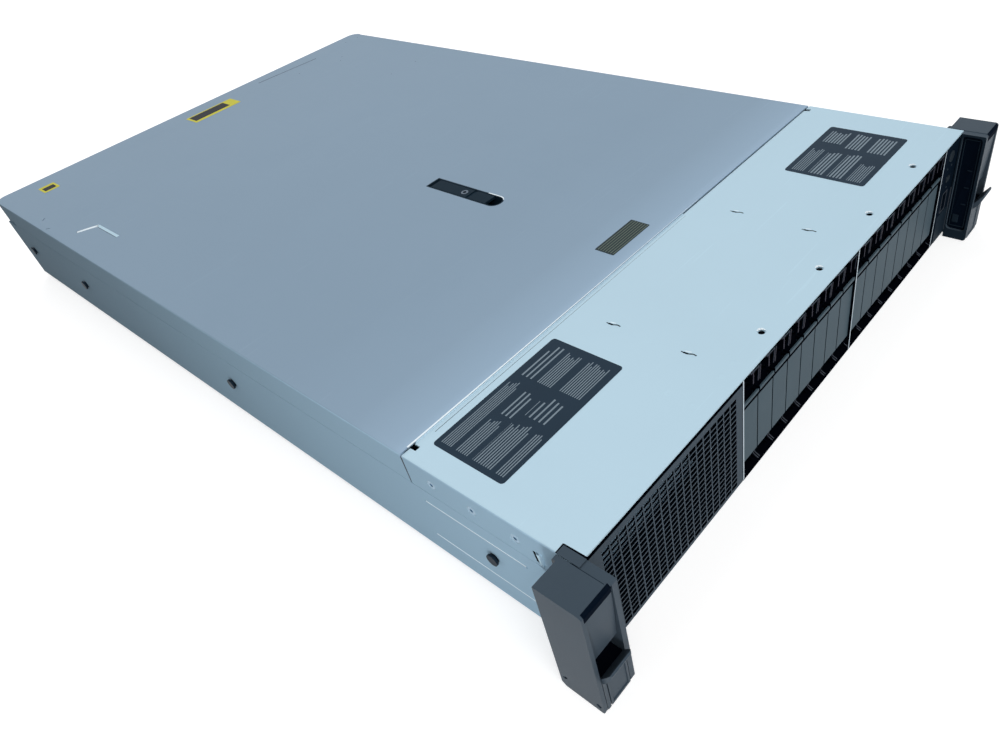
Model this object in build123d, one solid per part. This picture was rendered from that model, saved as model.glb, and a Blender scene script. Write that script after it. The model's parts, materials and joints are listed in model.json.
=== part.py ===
from build123d import *
import os

# Two-unit rack server: a steel tray with a fixed front plate and a sliding hood, three front
# bays, two rack ears with release levers, six fans, the system board and two power supplies.
# X points right as seen from the front, Y from front to rear, Z up, all in millimetres.
# The origin is the centre of the underside.

# Chassis and sheet metal
chassis_width = 445.5
chassis_height = 87.0
chassis_depth = 730.0
sheet = 1.2
lap_gap = 0.3
fit_gap = 0.3
flange_height = 22.0
fold_radius = 1.4
foot_height = 6.0
foot_inset = 3.0
foot_setback = 3.0
front_plate_depth = 120.0
seam_gap = 1.2
seam_bevel = 2.5
seam_bevel_drop = 0.7
seam_notch_x = 214.5
seam_notch_width = 3.4
seam_notch_length = 4.5
hood_corner_radius = 11.0
hood_flange_slant = 13.0
hood_bead = ((-207.0, 572.4), (-191.0, 564.0), (-191.0, 525.5))
hood_bead_width = 3.4
hood_bead_depth = 0.6
hood_slot_length = 4.0
hood_slot_width = 1.0
hood_slots = ((-212.6, 631.5, 35.0), (-218.0, 608.0, -45.0))

# Stamped lines and rail studs on the chassis sides
side_line_width = 1.0
side_line_dot_radius = 1.1
side_line_depth = 0.5
upper_side_line = (38.8, 113.2, 54.0)
lower_side_line = (12.0, 116.7, 22.0)
stud_height = 41.0
stud_rows = (64.5, 326.0, 577.5, 697.5)
stud_neck_radius = 2.6
stud_head_radius = 3.9
stud_neck_length = 1.2
stud_head_thickness = 1.3
stud_collar_radius = 3.3
stud_collar_length = 0.4

# Flush screws that hold the front plate's side flanges
flush_screw_rows = (40.5, 70.5, 100.5)
flush_screw_drop = 11.3
flush_screw_head_radius = 3.0
flush_screw_socket_radius = 1.3
flush_screw_socket_depth = 0.6
flush_screw_shank_radius = 1.4
flush_screw_length = 5.0

# Marks on the front plate
dimple_columns = (-46.0, 22.5, 91.0, 159.5)
dimple_setback = 11.3
dimple_radius = 1.9
dimple_mouth_radius = 2.6
dimple_mouth_depth = 0.7
lance_columns = (-81.5, 57.0)
lance_rows = (35.5, 88.0)
lance_length = 8.0
lance_width = 1.6
side_lance_row = 26.6
side_lance_tab_row = 24.0
side_lance_width = 1.6
side_lance_bottom = 67.0
side_lance_top = 76.0
side_lance_proud = 0.5

# Front bays: the grille closes the left one, the other two hold eight blanks each
bay_width = 138.0
first_divider = -84.0
cage_sheet = 1.0
cage_depth = 115.0
cage_floor_height = 4.5
cage_setback = 0.2
cage_roof_setback = 4.0
blanks_per_bay = 8
blank_gap = 0.9
blank_depth = 46.0
blank_wall = 1.1
blank_setback = 0.8
blank_plate_setback = 1.0
blank_plate_bottom = 16.6
blank_plate_top = 59.0
blank_bar_bottom = 63.0
blank_bar_top = 65.2
blank_bar_thickness = 1.1
blank_bar_inset = 0.2
blank_pocket_depth = 3.4
blank_front_wall = 4.6
blank_window_bottom = 67.0
blank_hook_width = 1.2
blank_hook_inset = 3.2
blank_hook_reach = 4.2
blank_hook_bottom = 69.5
blank_hook_top = 80.5
blank_mark_width = 1.0
blank_mark_height = 2.4
blank_mark_spacing = 2.6

# Grille: a regular field of plain slots
grille_thickness = 1.0
grille_rim_depth = 30.0
grille_setback = 0.4
grille_top = 82.3
grille_columns = 18
grille_rows = 18
grille_column_pitch = 6.49
grille_row_pitch = 3.98
grille_first_column = -204.3
grille_field_bottom = 6.7
grille_web = 0.95

# Rack ears
ear_overlap = 5.15
ear_width = 24.3
ear_front = 17.3
ear_back = 10.0
ear_bottom = 0.4
ear_top_drop = 0.2
ear_wall = 2.0
ear_inner_wall = 3.4
ear_outer_wall = 2.4
ear_cap = 1.5
ear_recess = 2.3
ear_recess_rim = 2.0
ear_recess_bottom = 8.0
ear_recess_round = 3.0
ear_strip_drop = 0.4
ear_front_round = 2.0
ear_back_chamfer = 2.5
ear_lug_width = 3.0
ear_lug_depth = 2.5
ear_lug_height = 9.0
ear_lug_round = 1.4
ear_clip_row = 6.5
ear_clip_height = 10.0
ear_clip_length = 3.6
ear_clip_width = 1.6
lever_gap = 0.4
lever_top_drop = 6.7
lever_bottom = 1.0
lever_back = 5.5
lever_head_depth = 7.0
lever_face_dip = 1.4
lever_face_foot = 44.0
lever_face_set = 2.8
lever_pivot_setback = -14.0
lever_pivot_height = 5.5
lever_pin_radius = 1.5
lever_pin_length = 1.6
pin_clearance = 0.1
scoop_reach = 23.4
scoop_top = 38.5
scoop_root = 27.0
scoop_round = 3.0
pocket_floor = 30.0
pocket_back = 8.5
pocket_roof = 40.0
lever_frame_top = 24.5
lever_frame_bottom = 2.6
lever_frame_inset = 1.4
lever_frame_depth = 0.5
lever_slit_inset = 3.0
lever_slit_width = 0.7
lever_slit_depth = 1.4
captive_screw_inset = 14.95
captive_screw_z = 65.7
captive_screw_radius = 2.5
captive_screw_neck_radius = 2.1
captive_screw_head_radius = 4.2
captive_screw_head_thickness = 3.5
captive_screw_reach = 9.0

# Control panel between the right bay and the right ear
panel_depth = 36.0
panel_wall = 1.6
power_button_height = 75.0
power_button_radius = 4.2
button_gap = 0.35
button_proud = 0.6
button_flange = 1.0
locator_button_height = 57.0
locator_button_width = 6.0
locator_button_tall = 4.0
front_usb_height = 38.0
front_usb_width = 7.2
front_usb_tall = 14.4

# Hood latch: a tub in the hood, a lever on a cross pin and a quarter-turn lock
latch_x = -6.5
latch_width = 14.6
latch_front = 253.0
latch_rear = 331.5
latch_wall = 1.2
latch_flange = 2.5
latch_flange_thickness = 1.5
latch_tub_depth = 13.2
latch_lever_front = 265.5
latch_lever_thickness = 5.0
latch_groove_front = 284.0
latch_groove_rear = 287.0
latch_groove_depth = 0.8
latch_lever_gap = 0.4
latch_pivot_back = 7.6
latch_pivot_drop = 3.4
latch_pin_radius = 1.5
latch_toe_length = 10.0
latch_toe_half = 1.5
latch_toe_width = 6.0
hood_travel = 15.0
lock_y = 293.4
lock_radius = 3.0
lock_depth = 3.0
striker_gap = 0.5
striker_height = 3.4

# Fans
fan_count = 6
fan_pitch = 68.0
fan_size = 60.0
fan_depth = 38.0
fan_front = 228.0
fan_base = 9.0
fan_bore_radius = 28.5
fan_hub_radius = 14.0
fan_tip_radius = 26.4
fan_blades = 7
fan_blade_chord = 20.0
fan_blade_thickness = 1.4
fan_blade_pitch = 38.0
fan_strut_width = 3.0
fan_cage_wall = 1.2
fan_cage_top = 72.5

# System board and what stands on it
board_thickness = 1.6
board_height = 7.0
board_front = 280.0
board_half_width = 213.0
chipset_x = -5.0
chipset_setback = 575.0
chipset_size = 30.0
chipset_height = 4.0
choke_x = 40.0
choke_setback = 500.0
choke_width = 20.0
choke_depth = 40.0
choke_height = 10.0
cable_socket_x = 205.0
cable_socket_width = 12.0
cable_socket_depth = 14.0
cable_socket_front = 306.0
cable_width = 14.0
cable_thickness = 2.4
cable_bottom = 20.0
cable_bend = 9.0
cable_plug_offset = 30.0
cable_plug_width = 22.0
cable_plug_reach = 8.0
cable_start_run = 26.0
cable_cross_run = 44.0
cable_turn_run = 28.0
cable_end_run = 10.0
cable_lane_inset = 5.0
drive_plug_width = 5.0
drive_plug_reach = 7.0
drive_plug_bottom = 22.0
drive_plug_top = 58.0
standoff_radius = 3.5
standoff_columns = (-193.0, -60.0, 60.0, 193.0)
standoff_inset = 15.0
standoff_rear_inset = 25.0
socket_width = 80.0
socket_depth = 86.0
socket_height = 6.0
lid_width = 56.0
lid_depth = 76.0
lid_thickness = 2.0
processor_offset = 100.0
processor_row = 372.0
heatsink_width = 78.0
heatsink_depth = 100.0
heatsink_height = 50.0
heatsink_base = 5.0
heatsink_fins = 17
heatsink_fin_thickness = 0.9
memory_per_bank = 6
memory_pitch = 8.3
memory_length = 133.0
memory_board_height = 31.0
memory_board_thickness = 1.4
memory_socket_height = 9.0
memory_socket_width = 6.0
memory_socket_length = 142.0
memory_slot_depth = 5.0
baffle_top = 70.0
baffle_wall = 1.5
baffle_front = 284.0
baffle_rear = 452.0

# Rear panel, slots, ports and power supplies
psu_width = 85.5
psu_height = 40.0
psu_depth = 185.0
psu_gap = 1.5
psu_wall = 1.2
psu_face_proud = 3.0
psu_handle_reach = 24.0
psu_handle_width = 30.0
psu_handle_bar = 5.0
psu_handle_tall = 10.0
psu_handle_offset = 12.0
psu_handle_lift = 14.0
psu_vents = 8
psu_vent_pitch = 5.2
psu_vent_width = 3.6
psu_vent_tall = 5.0
psu_vent_inset = 8.0
psu_latch_offset = 6.0
psu_latch_half = 3.0
psu_latch_thickness = 2.4
psu_latch_bottom = 5.0
psu_latch_top = 15.0
psu_latch_root = 7.6
psu_latch_reach = 12.0
psu_latch_pad = 2.0
psu_notch_margin = 2.0
inlet_width = 27.0
inlet_tall = 19.6
inlet_depth = 17.0
inlet_wall = 1.5
inlet_offset = 18.0
inlet_lift = 5.0
blade_pitch = 7.0
blade_width = 2.0
blade_tall = 4.0
blade_rise = 3.0
blade_drop = 2.0
slot_cover_width = 112.0
slot_cover_height = 15.0
slot_pitch = 20.32
slot_first_height = 35.0
slot_cover_thickness = 1.0
slot_window_width = 104.0
slot_window_height = 12.0
slot_vents = 6
slot_vent_pitch = 15.0
slot_vent_width = 11.0
slot_vent_height = 5.0
rear_flange_depth = 12.0
riser_depth = 150.0
riser_bottom = 26.0
riser_margin = 2.0
riser_board_setback = 95.0
riser_board_depth = 50.0
riser_socket_reach = 11.0
riser_socket_height = 7.0
riser_socket_inset = 2.0
slot_centres = (147.0, 18.0)
upper_slot_centre = -130.0
port_depth = 16.0
port_proud = 0.8
network_port_width = 15.8
network_port_tall = 13.4
network_port_centres = (156.0, 138.0, 120.0, 102.0, 60.0)
usb_port_width = 14.4
usb_port_tall = 7.2
usb_port_centres = (36.0, 16.0)
dsub_width = 31.0
dsub_tall = 12.4
port_wall = 1.0
dsub_flange = 6.5
dsub_reach = 5.0
dsub_centres = (196.0, -16.0)
port_window_margin = 18.0
port_window_bottom = 4.5
port_window_top = 25.5

# Values worked out from the driving dimensions
front = -chassis_depth / 2
rear = chassis_depth / 2
half_width = chassis_width / 2
upper_wall = half_width - sheet - lap_gap
foot_half = half_width - foot_inset
foot_inner = foot_half - sheet
step_height = chassis_height - flange_height - lap_gap
wall_top = chassis_height - sheet - lap_gap
cage_top = wall_top - fit_gap
bay_lines = [first_divider + bay_width * i for i in range(3)]
blank_pitch = (bay_width - 2 * cage_sheet - fit_gap) / blanks_per_bay
blank_width = blank_pitch - blank_gap
blank_bottom = cage_floor_height + cage_sheet + fit_gap
blank_top = cage_top - cage_sheet - fit_gap
board_top = board_height + board_thickness
flush_screw_height = chassis_height - flush_screw_drop
ear_inner = half_width - ear_overlap
ear_outer = ear_inner + ear_width
ear_top = chassis_height - ear_top_drop
lever_top = chassis_height - lever_top_drop
captive_screw_x = ear_inner + captive_screw_inset
latch_floor = chassis_height - latch_tub_depth
latch_pivot_height = chassis_height - latch_pivot_drop
latch_pivot_y = front + latch_rear - latch_pivot_back
psu_left = -foot_inner + psu_gap
psu_right = psu_left + 2 * psu_width + psu_gap
psu_front = rear - psu_depth


def block(x0, x1, y0, y1, z0, z1):
    centre = Pos((x0 + x1) / 2, (y0 + y1) / 2, (z0 + z1) / 2)
    return centre * Box(abs(x1 - x0), abs(y1 - y0), abs(z1 - z0))


def along_y(outline, y0, y1):
    # An outline drawn in X and Z, stretched from y0 to y1
    return Pos(0, y1, 0) * extrude(Plane.XZ * outline, amount=y1 - y0)


def along_x(outline, x0, x1):
    # An outline drawn in Y and Z, stretched from x0 to x1
    return Pos(x0, 0, 0) * extrude(Plane.YZ * outline, amount=x1 - x0)


def along_z(outline, z0, z1):
    # An outline drawn in X and Y, stretched from z0 to z1
    return Pos(0, 0, z0) * extrude(outline, amount=z1 - z0)


def outline(*points):
    return make_face(Polyline(*points, close=True))


def both_sides(shape):
    return [shape, mirror(shape, about=Plane.YZ)]


def group(solids):
    return Compound(children=list(solids))


def corner_waste(x, y, side_x, side_y, radius):
    # What a rounding takes off a square corner that points towards side_x and side_y
    square = Pos(x - side_x * radius / 2, y - side_y * radius / 2) * Rectangle(radius, radius)
    return square - Pos(x - side_x * radius, y - side_y * radius) * Circle(radius)


def chassis_tray():
    # The side walls step in near the top, so that hood and front plate lie flush outside them,
    # and at the foot
    half = outline(
        (0, 0),
        (foot_half, 0),
        (foot_half, foot_height),
        (half_width, foot_height),
        (half_width, step_height),
        (upper_wall, step_height),
        (upper_wall, wall_top),
        (upper_wall - sheet, wall_top),
        (upper_wall - sheet, step_height - sheet),
        (half_width - sheet, step_height - sheet),
        (half_width - sheet, foot_height + sheet),
        (foot_inner, foot_height + sheet),
        (foot_inner, sheet),
        (0, sheet),
    )
    tray = along_y(half, front, rear)
    for y0, y1 in ((front - 1, front + foot_setback), (rear - foot_setback, rear + 1)):
        tray -= block(-1, half_width + 1, y0, y1, -1, foot_height)
    for start, end, height in (upper_side_line, lower_side_line):
        line = Pos(front + (start + end) / 2, height) * Rectangle(end - start, side_line_width)
        dots = [Pos(front + row, height) * Circle(side_line_dot_radius) for row in (start, end)]
        tray -= along_x(line + dots, half_width - side_line_depth, half_width + sheet)
    for row in flush_screw_rows:
        hole = Pos(front + row, flush_screw_height) * Circle(flush_screw_shank_radius + pin_clearance)
        tray -= along_x(hole, upper_wall - 2 * sheet, upper_wall + sheet)
    for row in stud_rows:
        hole = Pos(front + row, stud_height) * Circle(stud_neck_radius + pin_clearance)
        tray -= along_x(hole, half_width - 4 * sheet, half_width + sheet)
    tray += mirror(tray, about=Plane.YZ)
    apron_top = cage_floor_height - fit_gap
    tray += block(
        -foot_inner, foot_inner, front + foot_setback, front + foot_setback + sheet, sheet, apron_top,
    )
    for x in standoff_columns:
        rows = [front + board_front + standoff_inset, psu_front - standoff_inset]
        if x > psu_right:
            rows.append(rear - standoff_rear_inset)
        for y in rows:
            pad = Pos(x, y) * RegularPolygon(standoff_radius, 6)
            tray += along_z(pad, sheet, board_height)
    return tray


def front_top_plate():
    end = front + front_plate_depth
    top = block(-half_width, half_width, front, end, chassis_height - sheet, chassis_height)
    flange = block(half_width - sheet, half_width, front, end,
                   chassis_height - flange_height, chassis_height)
    for row in flush_screw_rows:
        hole = Pos(front + row, flush_screw_height) * Circle(flush_screw_head_radius + pin_clearance)
        flange -= along_x(hole, half_width - 2 * sheet, half_width + sheet)
    lance = (half_width - 2 * sheet, half_width + sheet)
    middle = (side_lance_bottom + side_lance_top) / 2
    tall = side_lance_top - side_lance_bottom
    slot = Pos(front + side_lance_row, middle) * Rectangle(side_lance_width, tall)
    flange -= along_x(slot, *lance)
    tab = Pos(front + side_lance_tab_row, middle) * Rectangle(side_lance_width, tall)
    flange += along_x(tab, half_width - sheet, half_width + side_lance_proud)
    plate = top + flange + mirror(flange, about=Plane.YZ)
    for x in dimple_columns:
        place = Pos(x, front + dimple_setback)
        plate -= along_z(place * Circle(dimple_radius), chassis_height - 2 * sheet, chassis_height + sheet)
        mouth = Cone(dimple_radius, dimple_mouth_radius, dimple_mouth_depth)
        plate -= place * Pos(0, 0, chassis_height - dimple_mouth_depth / 2) * mouth
    for x in lance_columns:
        for row in lance_rows:
            slot = Pos(x, front + row) * Rectangle(lance_width, lance_length)
            plate -= along_z(slot, chassis_height - 2 * sheet, chassis_height + sheet)
    # The rear edge is bevelled along the seam and notched near both corners
    bevel = outline(
        (end - seam_bevel, chassis_height),
        (end + 1, chassis_height - seam_bevel_drop),
        (end + 1, chassis_height + 1),
        (end - seam_bevel, chassis_height + 1),
    )
    plate -= along_x(bevel, -half_width - 1, half_width + 1)
    for side in (-1, 1):
        x = side * seam_notch_x
        plate -= block(x - seam_notch_width / 2, x + seam_notch_width / 2, end - seam_notch_length,
                       end + 1, chassis_height - 2 * sheet, chassis_height + 1)
        fold = corner_waste(side * half_width, chassis_height, side, 1, fold_radius)
        plate -= along_y(fold, front - 1, end + 1)
    return plate


def latch_outline(margin):
    # The latch in plan: round at the front, nearly square at the rear
    radius = latch_width / 2 + margin
    y0 = front + latch_front - margin
    y1 = front + latch_rear + margin
    body = Pos(latch_x, (y0 + radius + y1) / 2) * Rectangle(2 * radius, y1 - y0 - radius)
    nose = Pos(latch_x, y0 + radius) * Circle(radius)
    return body + nose


def hood():
    y0 = front + front_plate_depth + seam_gap
    top_outline = Pos(0, (y0 + rear) / 2) * Rectangle(chassis_width, rear - y0)
    rear_corners = top_outline.vertices().group_by(Axis.Y)[-1]
    top_outline = fillet(rear_corners, radius=hood_corner_radius)
    top = along_z(top_outline, chassis_height - sheet, chassis_height)
    corner_start = rear - hood_corner_radius
    side = outline(
        (y0, chassis_height - flange_height),
        (corner_start - hood_flange_slant, chassis_height - flange_height),
        (corner_start, chassis_height - sheet),
        (y0, chassis_height - sheet),
    )
    flange = along_x(side, half_width - sheet, half_width)
    cover = top + flange + mirror(flange, about=Plane.YZ)
    cover -= along_z(latch_outline(pin_clearance), chassis_height - 2 * sheet, chassis_height + sheet)
    for side in (-1, 1):
        fold = corner_waste(side * half_width, chassis_height, side, 1, fold_radius)
        cover -= along_y(fold, y0 - 1, corner_start)
    bead = trace(Polyline(*[(x, front + y) for x, y in hood_bead]), hood_bead_width)
    cover -= along_z(bead, chassis_height - hood_bead_depth, chassis_height + 1)
    for x, row, angle in hood_slots:
        slot = Pos(x, front + row) * Rot(0, 0, angle) * Rectangle(hood_slot_length, hood_slot_width)
        cover -= along_z(slot, chassis_height - 2 * sheet, chassis_height + 1)
    return cover


def hood_latch_bezel():
    flange_top = chassis_height - sheet
    rim = along_z(latch_outline(0), flange_top, chassis_height)
    flange = along_z(latch_outline(latch_flange), flange_top - latch_flange_thickness, flange_top)
    tub = along_z(latch_outline(0), latch_floor, flange_top)
    bezel = rim + flange + tub
    bezel -= along_z(latch_outline(-latch_wall), latch_floor + latch_wall, chassis_height + sheet)
    toe_slot = latch_toe_width / 2 + latch_lever_gap
    slot_front = latch_pivot_y - hood_travel - latch_toe_half - striker_gap - 2 * sheet
    bezel -= block(
        latch_x - toe_slot, latch_x + toe_slot, slot_front, front + latch_rear - latch_wall,
        latch_floor - sheet, latch_floor + 2 * latch_wall,
    )
    pin = Pos(latch_pivot_y, latch_pivot_height) * Circle(latch_pin_radius + pin_clearance)
    reach = latch_width / 2 + latch_flange / 2
    bezel -= along_x(pin, latch_x - reach, latch_x + reach)
    return bezel


def hood_latch_lever():
    half = latch_width / 2 - latch_wall - latch_lever_gap
    top = chassis_height - pin_clearance
    bottom = top - latch_lever_thickness
    y0 = front + latch_lever_front
    tail = top - latch_pivot_height
    body = outline(
        (y0, top),
        (latch_pivot_y + tail, top),
        (latch_pivot_y + tail, bottom + 1.5),
        (latch_pivot_y + latch_toe_half, bottom),
        (latch_pivot_y + latch_toe_half, latch_pivot_height - latch_toe_length / 2),
        (latch_pivot_y - latch_toe_half, latch_pivot_height - latch_toe_length / 2),
        (latch_pivot_y - latch_toe_half, bottom),
        (y0 + 4, bottom),
        (y0, bottom + 3),
    )
    lever = along_x(body, latch_x - half, latch_x + half)
    lever += block(
        latch_x - latch_toe_width / 2, latch_x + latch_toe_width / 2,
        latch_pivot_y - latch_toe_half, latch_pivot_y + latch_toe_half,
        latch_pivot_height - latch_toe_length, latch_pivot_height,
    )
    cross_pin = Pos(latch_pivot_y, latch_pivot_height) * Circle(latch_pin_radius)
    reach = latch_width / 2 - pin_clearance
    lever += along_x(cross_pin, latch_x - reach, latch_x + reach)
    lever -= block(
        latch_x - half - 1, latch_x + half + 1, front + latch_groove_front, front + latch_groove_rear,
        top - latch_groove_depth, top + 1,
    )
    lock_hole = Pos(latch_x, front + lock_y) * Circle(lock_radius + fit_gap)
    lever -= along_z(lock_hole, top - lock_depth - fit_gap, top + sheet)
    return lever


def hood_latch_lock():
    # A round plug with a tool slot
    top = chassis_height - pin_clearance
    plug = along_z(Pos(latch_x, front + lock_y) * Circle(lock_radius), top - lock_depth, top)
    tool = Pos(latch_x, front + lock_y) * RegularPolygon(lock_radius * 0.55, 6)
    return plug - along_z(tool, top - lock_depth / 2, top + sheet)


def ear_profile():
    shell = outline(
        (front - ear_front, ear_bottom),
        (front + ear_back - ear_back_chamfer, ear_bottom),
        (front + ear_back, ear_bottom + ear_back_chamfer),
        (front + ear_back, ear_top),
        (front - ear_front, ear_top),
    )
    front_corners = shell.vertices().group_by(Axis.X)[0]
    return fillet(front_corners, radius=ear_front_round)


def right_ear():
    ear = along_x(ear_profile(), ear_inner, ear_outer)
    chassis_side = half_width + fit_gap
    return_wall = front - fit_gap
    ear -= block(ear_inner - 1, chassis_side, return_wall, front + ear_back + 1, 0, chassis_height)
    cavity_roof = ear_top - ear_cap
    ear -= block(
        ear_inner + ear_inner_wall, ear_outer - ear_outer_wall, front - ear_front - 1,
        return_wall - ear_wall, -1, cavity_roof,
    )
    ear -= block(
        chassis_side + ear_wall, ear_outer - ear_outer_wall, return_wall - ear_wall - 1,
        front + ear_back - ear_outer_wall, ear_bottom + ear_wall + ear_back_chamfer, cavity_roof,
    )
    # A deep framed field on the side that faces the bays, and a lower strip along the top
    y0 = front - ear_front + ear_recess_rim
    y1 = return_wall - ear_wall / 2
    z1 = ear_top - ear_recess_rim
    field = Pos((y0 + y1) / 2, (ear_recess_bottom + z1) / 2)
    field *= RectangleRounded(y1 - y0, z1 - ear_recess_bottom, ear_recess_round)
    ear -= along_x(field, ear_inner - 1, ear_inner + ear_recess)
    ear -= block(ear_inner - 1, half_width, front - ear_front - 1, front, ear_top - ear_strip_drop,
                 ear_top + 1)
    # A lug behind the top, beside the chassis wall
    lug_back = front + ear_back + ear_lug_depth
    lug = block(chassis_side, chassis_side + ear_lug_width, front + ear_back - 1, lug_back,
                ear_top - ear_lug_height, ear_top)
    lug -= along_x(corner_waste(lug_back, ear_top, 1, 1, ear_lug_round), ear_inner, ear_outer)
    ear += lug
    pivot = Pos(front + lever_pivot_setback, lever_pivot_height) * Circle(lever_pin_radius + pin_clearance)
    pin_reach = lever_pin_length + fit_gap
    ear -= along_x(pivot, ear_outer - ear_outer_wall - 1, ear_outer + 1)
    ear -= along_x(pivot, ear_inner + ear_inner_wall - pin_reach, ear_inner + ear_inner_wall + 1)
    clip = Pos(front + ear_clip_row, ear_clip_height) * Rot(0, 0, -45)
    clip *= Rectangle(ear_clip_length, ear_clip_width)
    ear -= along_x(clip, ear_outer - ear_outer_wall - 1, ear_outer + 1)
    screw_hole = Pos(captive_screw_x, captive_screw_z) * Circle(captive_screw_radius + fit_gap)
    ear -= along_y(screw_hole, front + ear_back - 2 * ear_outer_wall, front + ear_back + 1)
    return ear


def right_ear_lever():
    # The face is a little hollow down to a finger pocket, and a thin scoop stands out at its foot
    face = front - ear_front
    back = front - lever_back
    edges = Polyline(
        (face + 0.6, lever_top),
        (back - 4, lever_top),
        (back, lever_top - lever_head_depth),
        (back, lever_bottom),
        (face, lever_bottom),
        (face, scoop_root),
    )
    under = ThreePointArc(
        (face, scoop_root),
        (face - 3.6, (scoop_root + scoop_top) / 2 - 1),
        (front - scoop_reach, scoop_top - 1),
    )
    lip = Polyline(
        (front - scoop_reach, scoop_top - 1),
        (front - scoop_reach + 0.8, scoop_top),
        (front - scoop_reach + 1.8, scoop_top - 0.8),
        (face + 1.2, pocket_floor),
        (front - pocket_back - 1.5, pocket_floor),
        (front - pocket_back, pocket_floor + 1.5),
        (front - pocket_back, pocket_roof),
        (face + lever_face_set, lever_face_foot),
    )
    hollow = ThreePointArc(
        (face + lever_face_set, lever_face_foot),
        (face + lever_face_dip, (lever_face_foot + lever_top) / 2),
        (face + 0.6, lever_top),
    )
    side = make_face(edges + under + lip + hollow)
    x0 = ear_inner + ear_inner_wall + lever_gap
    x1 = ear_outer - ear_outer_wall - lever_gap
    lever = along_x(side, x0, x1)
    for x, side_x in ((x0, -1), (x1, 1)):
        corner = corner_waste(x, front - scoop_reach, side_x, -1, scoop_round)
        lever -= along_z(corner, scoop_root, scoop_top + 1)
    # A framed bare field and a slit below the scoop
    frame_end = x1 - lever_slit_inset - lever_frame_inset
    lever -= block(x0 + lever_frame_inset, frame_end, face - 1, face + lever_frame_depth,
                   lever_frame_bottom, lever_frame_top)
    lever -= block(x1 - lever_slit_inset, x1 - lever_slit_inset + lever_slit_width, face - 1,
                   face + lever_slit_depth, lever_bottom - 1, lever_frame_top)
    pin = Pos(front + lever_pivot_setback, lever_pivot_height) * Circle(lever_pin_radius)
    lever += along_x(pin, x0 - lever_gap - lever_pin_length, x1 + lever_gap + lever_pin_length)
    return lever


def captive_screws():
    head_back = front + ear_back - ear_outer_wall - pin_clearance
    screw = along_y(
        Pos(captive_screw_x, captive_screw_z) * Circle(captive_screw_head_radius),
        head_back - captive_screw_head_thickness, head_back,
    )
    screw += along_y(
        Pos(captive_screw_x, captive_screw_z) * Circle(captive_screw_neck_radius),
        head_back, front + ear_back + fit_gap,
    )
    screw += along_y(
        Pos(captive_screw_x, captive_screw_z) * Circle(captive_screw_radius),
        front + ear_back + fit_gap, front + ear_back + captive_screw_reach,
    )
    socket = Pos(captive_screw_x, captive_screw_z) * RegularPolygon(captive_screw_radius, 6)
    front_of_head = head_back - captive_screw_head_thickness
    screw -= along_y(socket, front_of_head - 1, front_of_head + 2)
    return group(both_sides(screw))


def grille_slot(x, z):
    # One slot as a closed wire in X and Z
    half = (grille_column_pitch - grille_web) / 2
    tall = (grille_row_pitch - grille_web) / 2
    points = [(x - half, z - tall), (x + half, z - tall), (x + half, z + tall), (x - half, z + tall)]
    return Wire.make_polygon([Vector(a, b, 0) for a, b in points], close=True)


def bay_grille():
    x0 = -foot_inner + fit_gap
    x1 = bay_lines[0] - cage_sheet / 2 - fit_gap
    z0 = cage_floor_height
    z1 = grille_top
    slots = []
    for column in range(grille_columns):
        x = grille_first_column + column * grille_column_pitch
        for row in range(grille_rows):
            slots.append(grille_slot(x, grille_field_bottom + (row + 0.5) * grille_row_pitch))
    corners = [Vector(x0, z0, 0), Vector(x1, z0, 0), Vector(x1, z1, 0), Vector(x0, z1, 0)]
    plate = Face(Wire.make_polygon(corners, close=True), slots)
    y0 = front + grille_setback
    sieve = along_y(plate, y0, y0 + grille_thickness)
    middle = Pos((x0 + x1) / 2, (z0 + z1) / 2)
    rim = middle * Rectangle(x1 - x0, z1 - z0)
    rim -= middle * Rectangle(x1 - x0 - 2 * grille_thickness, z1 - z0 - 2 * grille_thickness)
    return sieve + along_y(rim, y0 + grille_thickness, y0 + grille_rim_depth)


def drive_cage(index):
    # An open-ended box of thin sheet with legs down to the tray
    x0 = bay_lines[index] + (0 if index == 0 else fit_gap / 2)
    x1 = bay_lines[index + 1] - (fit_gap / 2 if index == 0 else 0)
    if index == 0:
        x0 -= cage_sheet / 2
    else:
        x1 += cage_sheet / 2
    y0 = front + cage_setback
    y1 = front + cage_depth
    cage = block(x0, x1, y0, y1, cage_floor_height, cage_top)
    cage -= block(x0 + cage_sheet, x1 - cage_sheet, y0 - 1, y1 + 1,
                  cage_floor_height + cage_sheet, cage_top - cage_sheet)
    cage -= block(x0 + cage_sheet, x1 - cage_sheet, y0 - 1, y0 + cage_roof_setback,
                  cage_top - 2 * cage_sheet, cage_top + 1)
    if index == 1:
        cage -= block(x0 - 1, x0 + cage_sheet, y0 - 1, y0 + cage_roof_setback,
                      cage_floor_height + cage_sheet, cage_top + 1)
    for x in (x0, x1 - cage_sheet):
        cage += block(x, x + cage_sheet, front + foot_setback + 2 * sheet, y1, sheet, cage_floor_height)
    return cage


def drive_cages():
    return group([drive_cage(0), drive_cage(1)])


def blank_left(number):
    bay, place = divmod(number, blanks_per_bay)
    middle = (bay_lines[bay] + bay_lines[bay + 1]) / 2
    return middle + (place - blanks_per_bay / 2) * blank_pitch + blank_gap / 2


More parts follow.
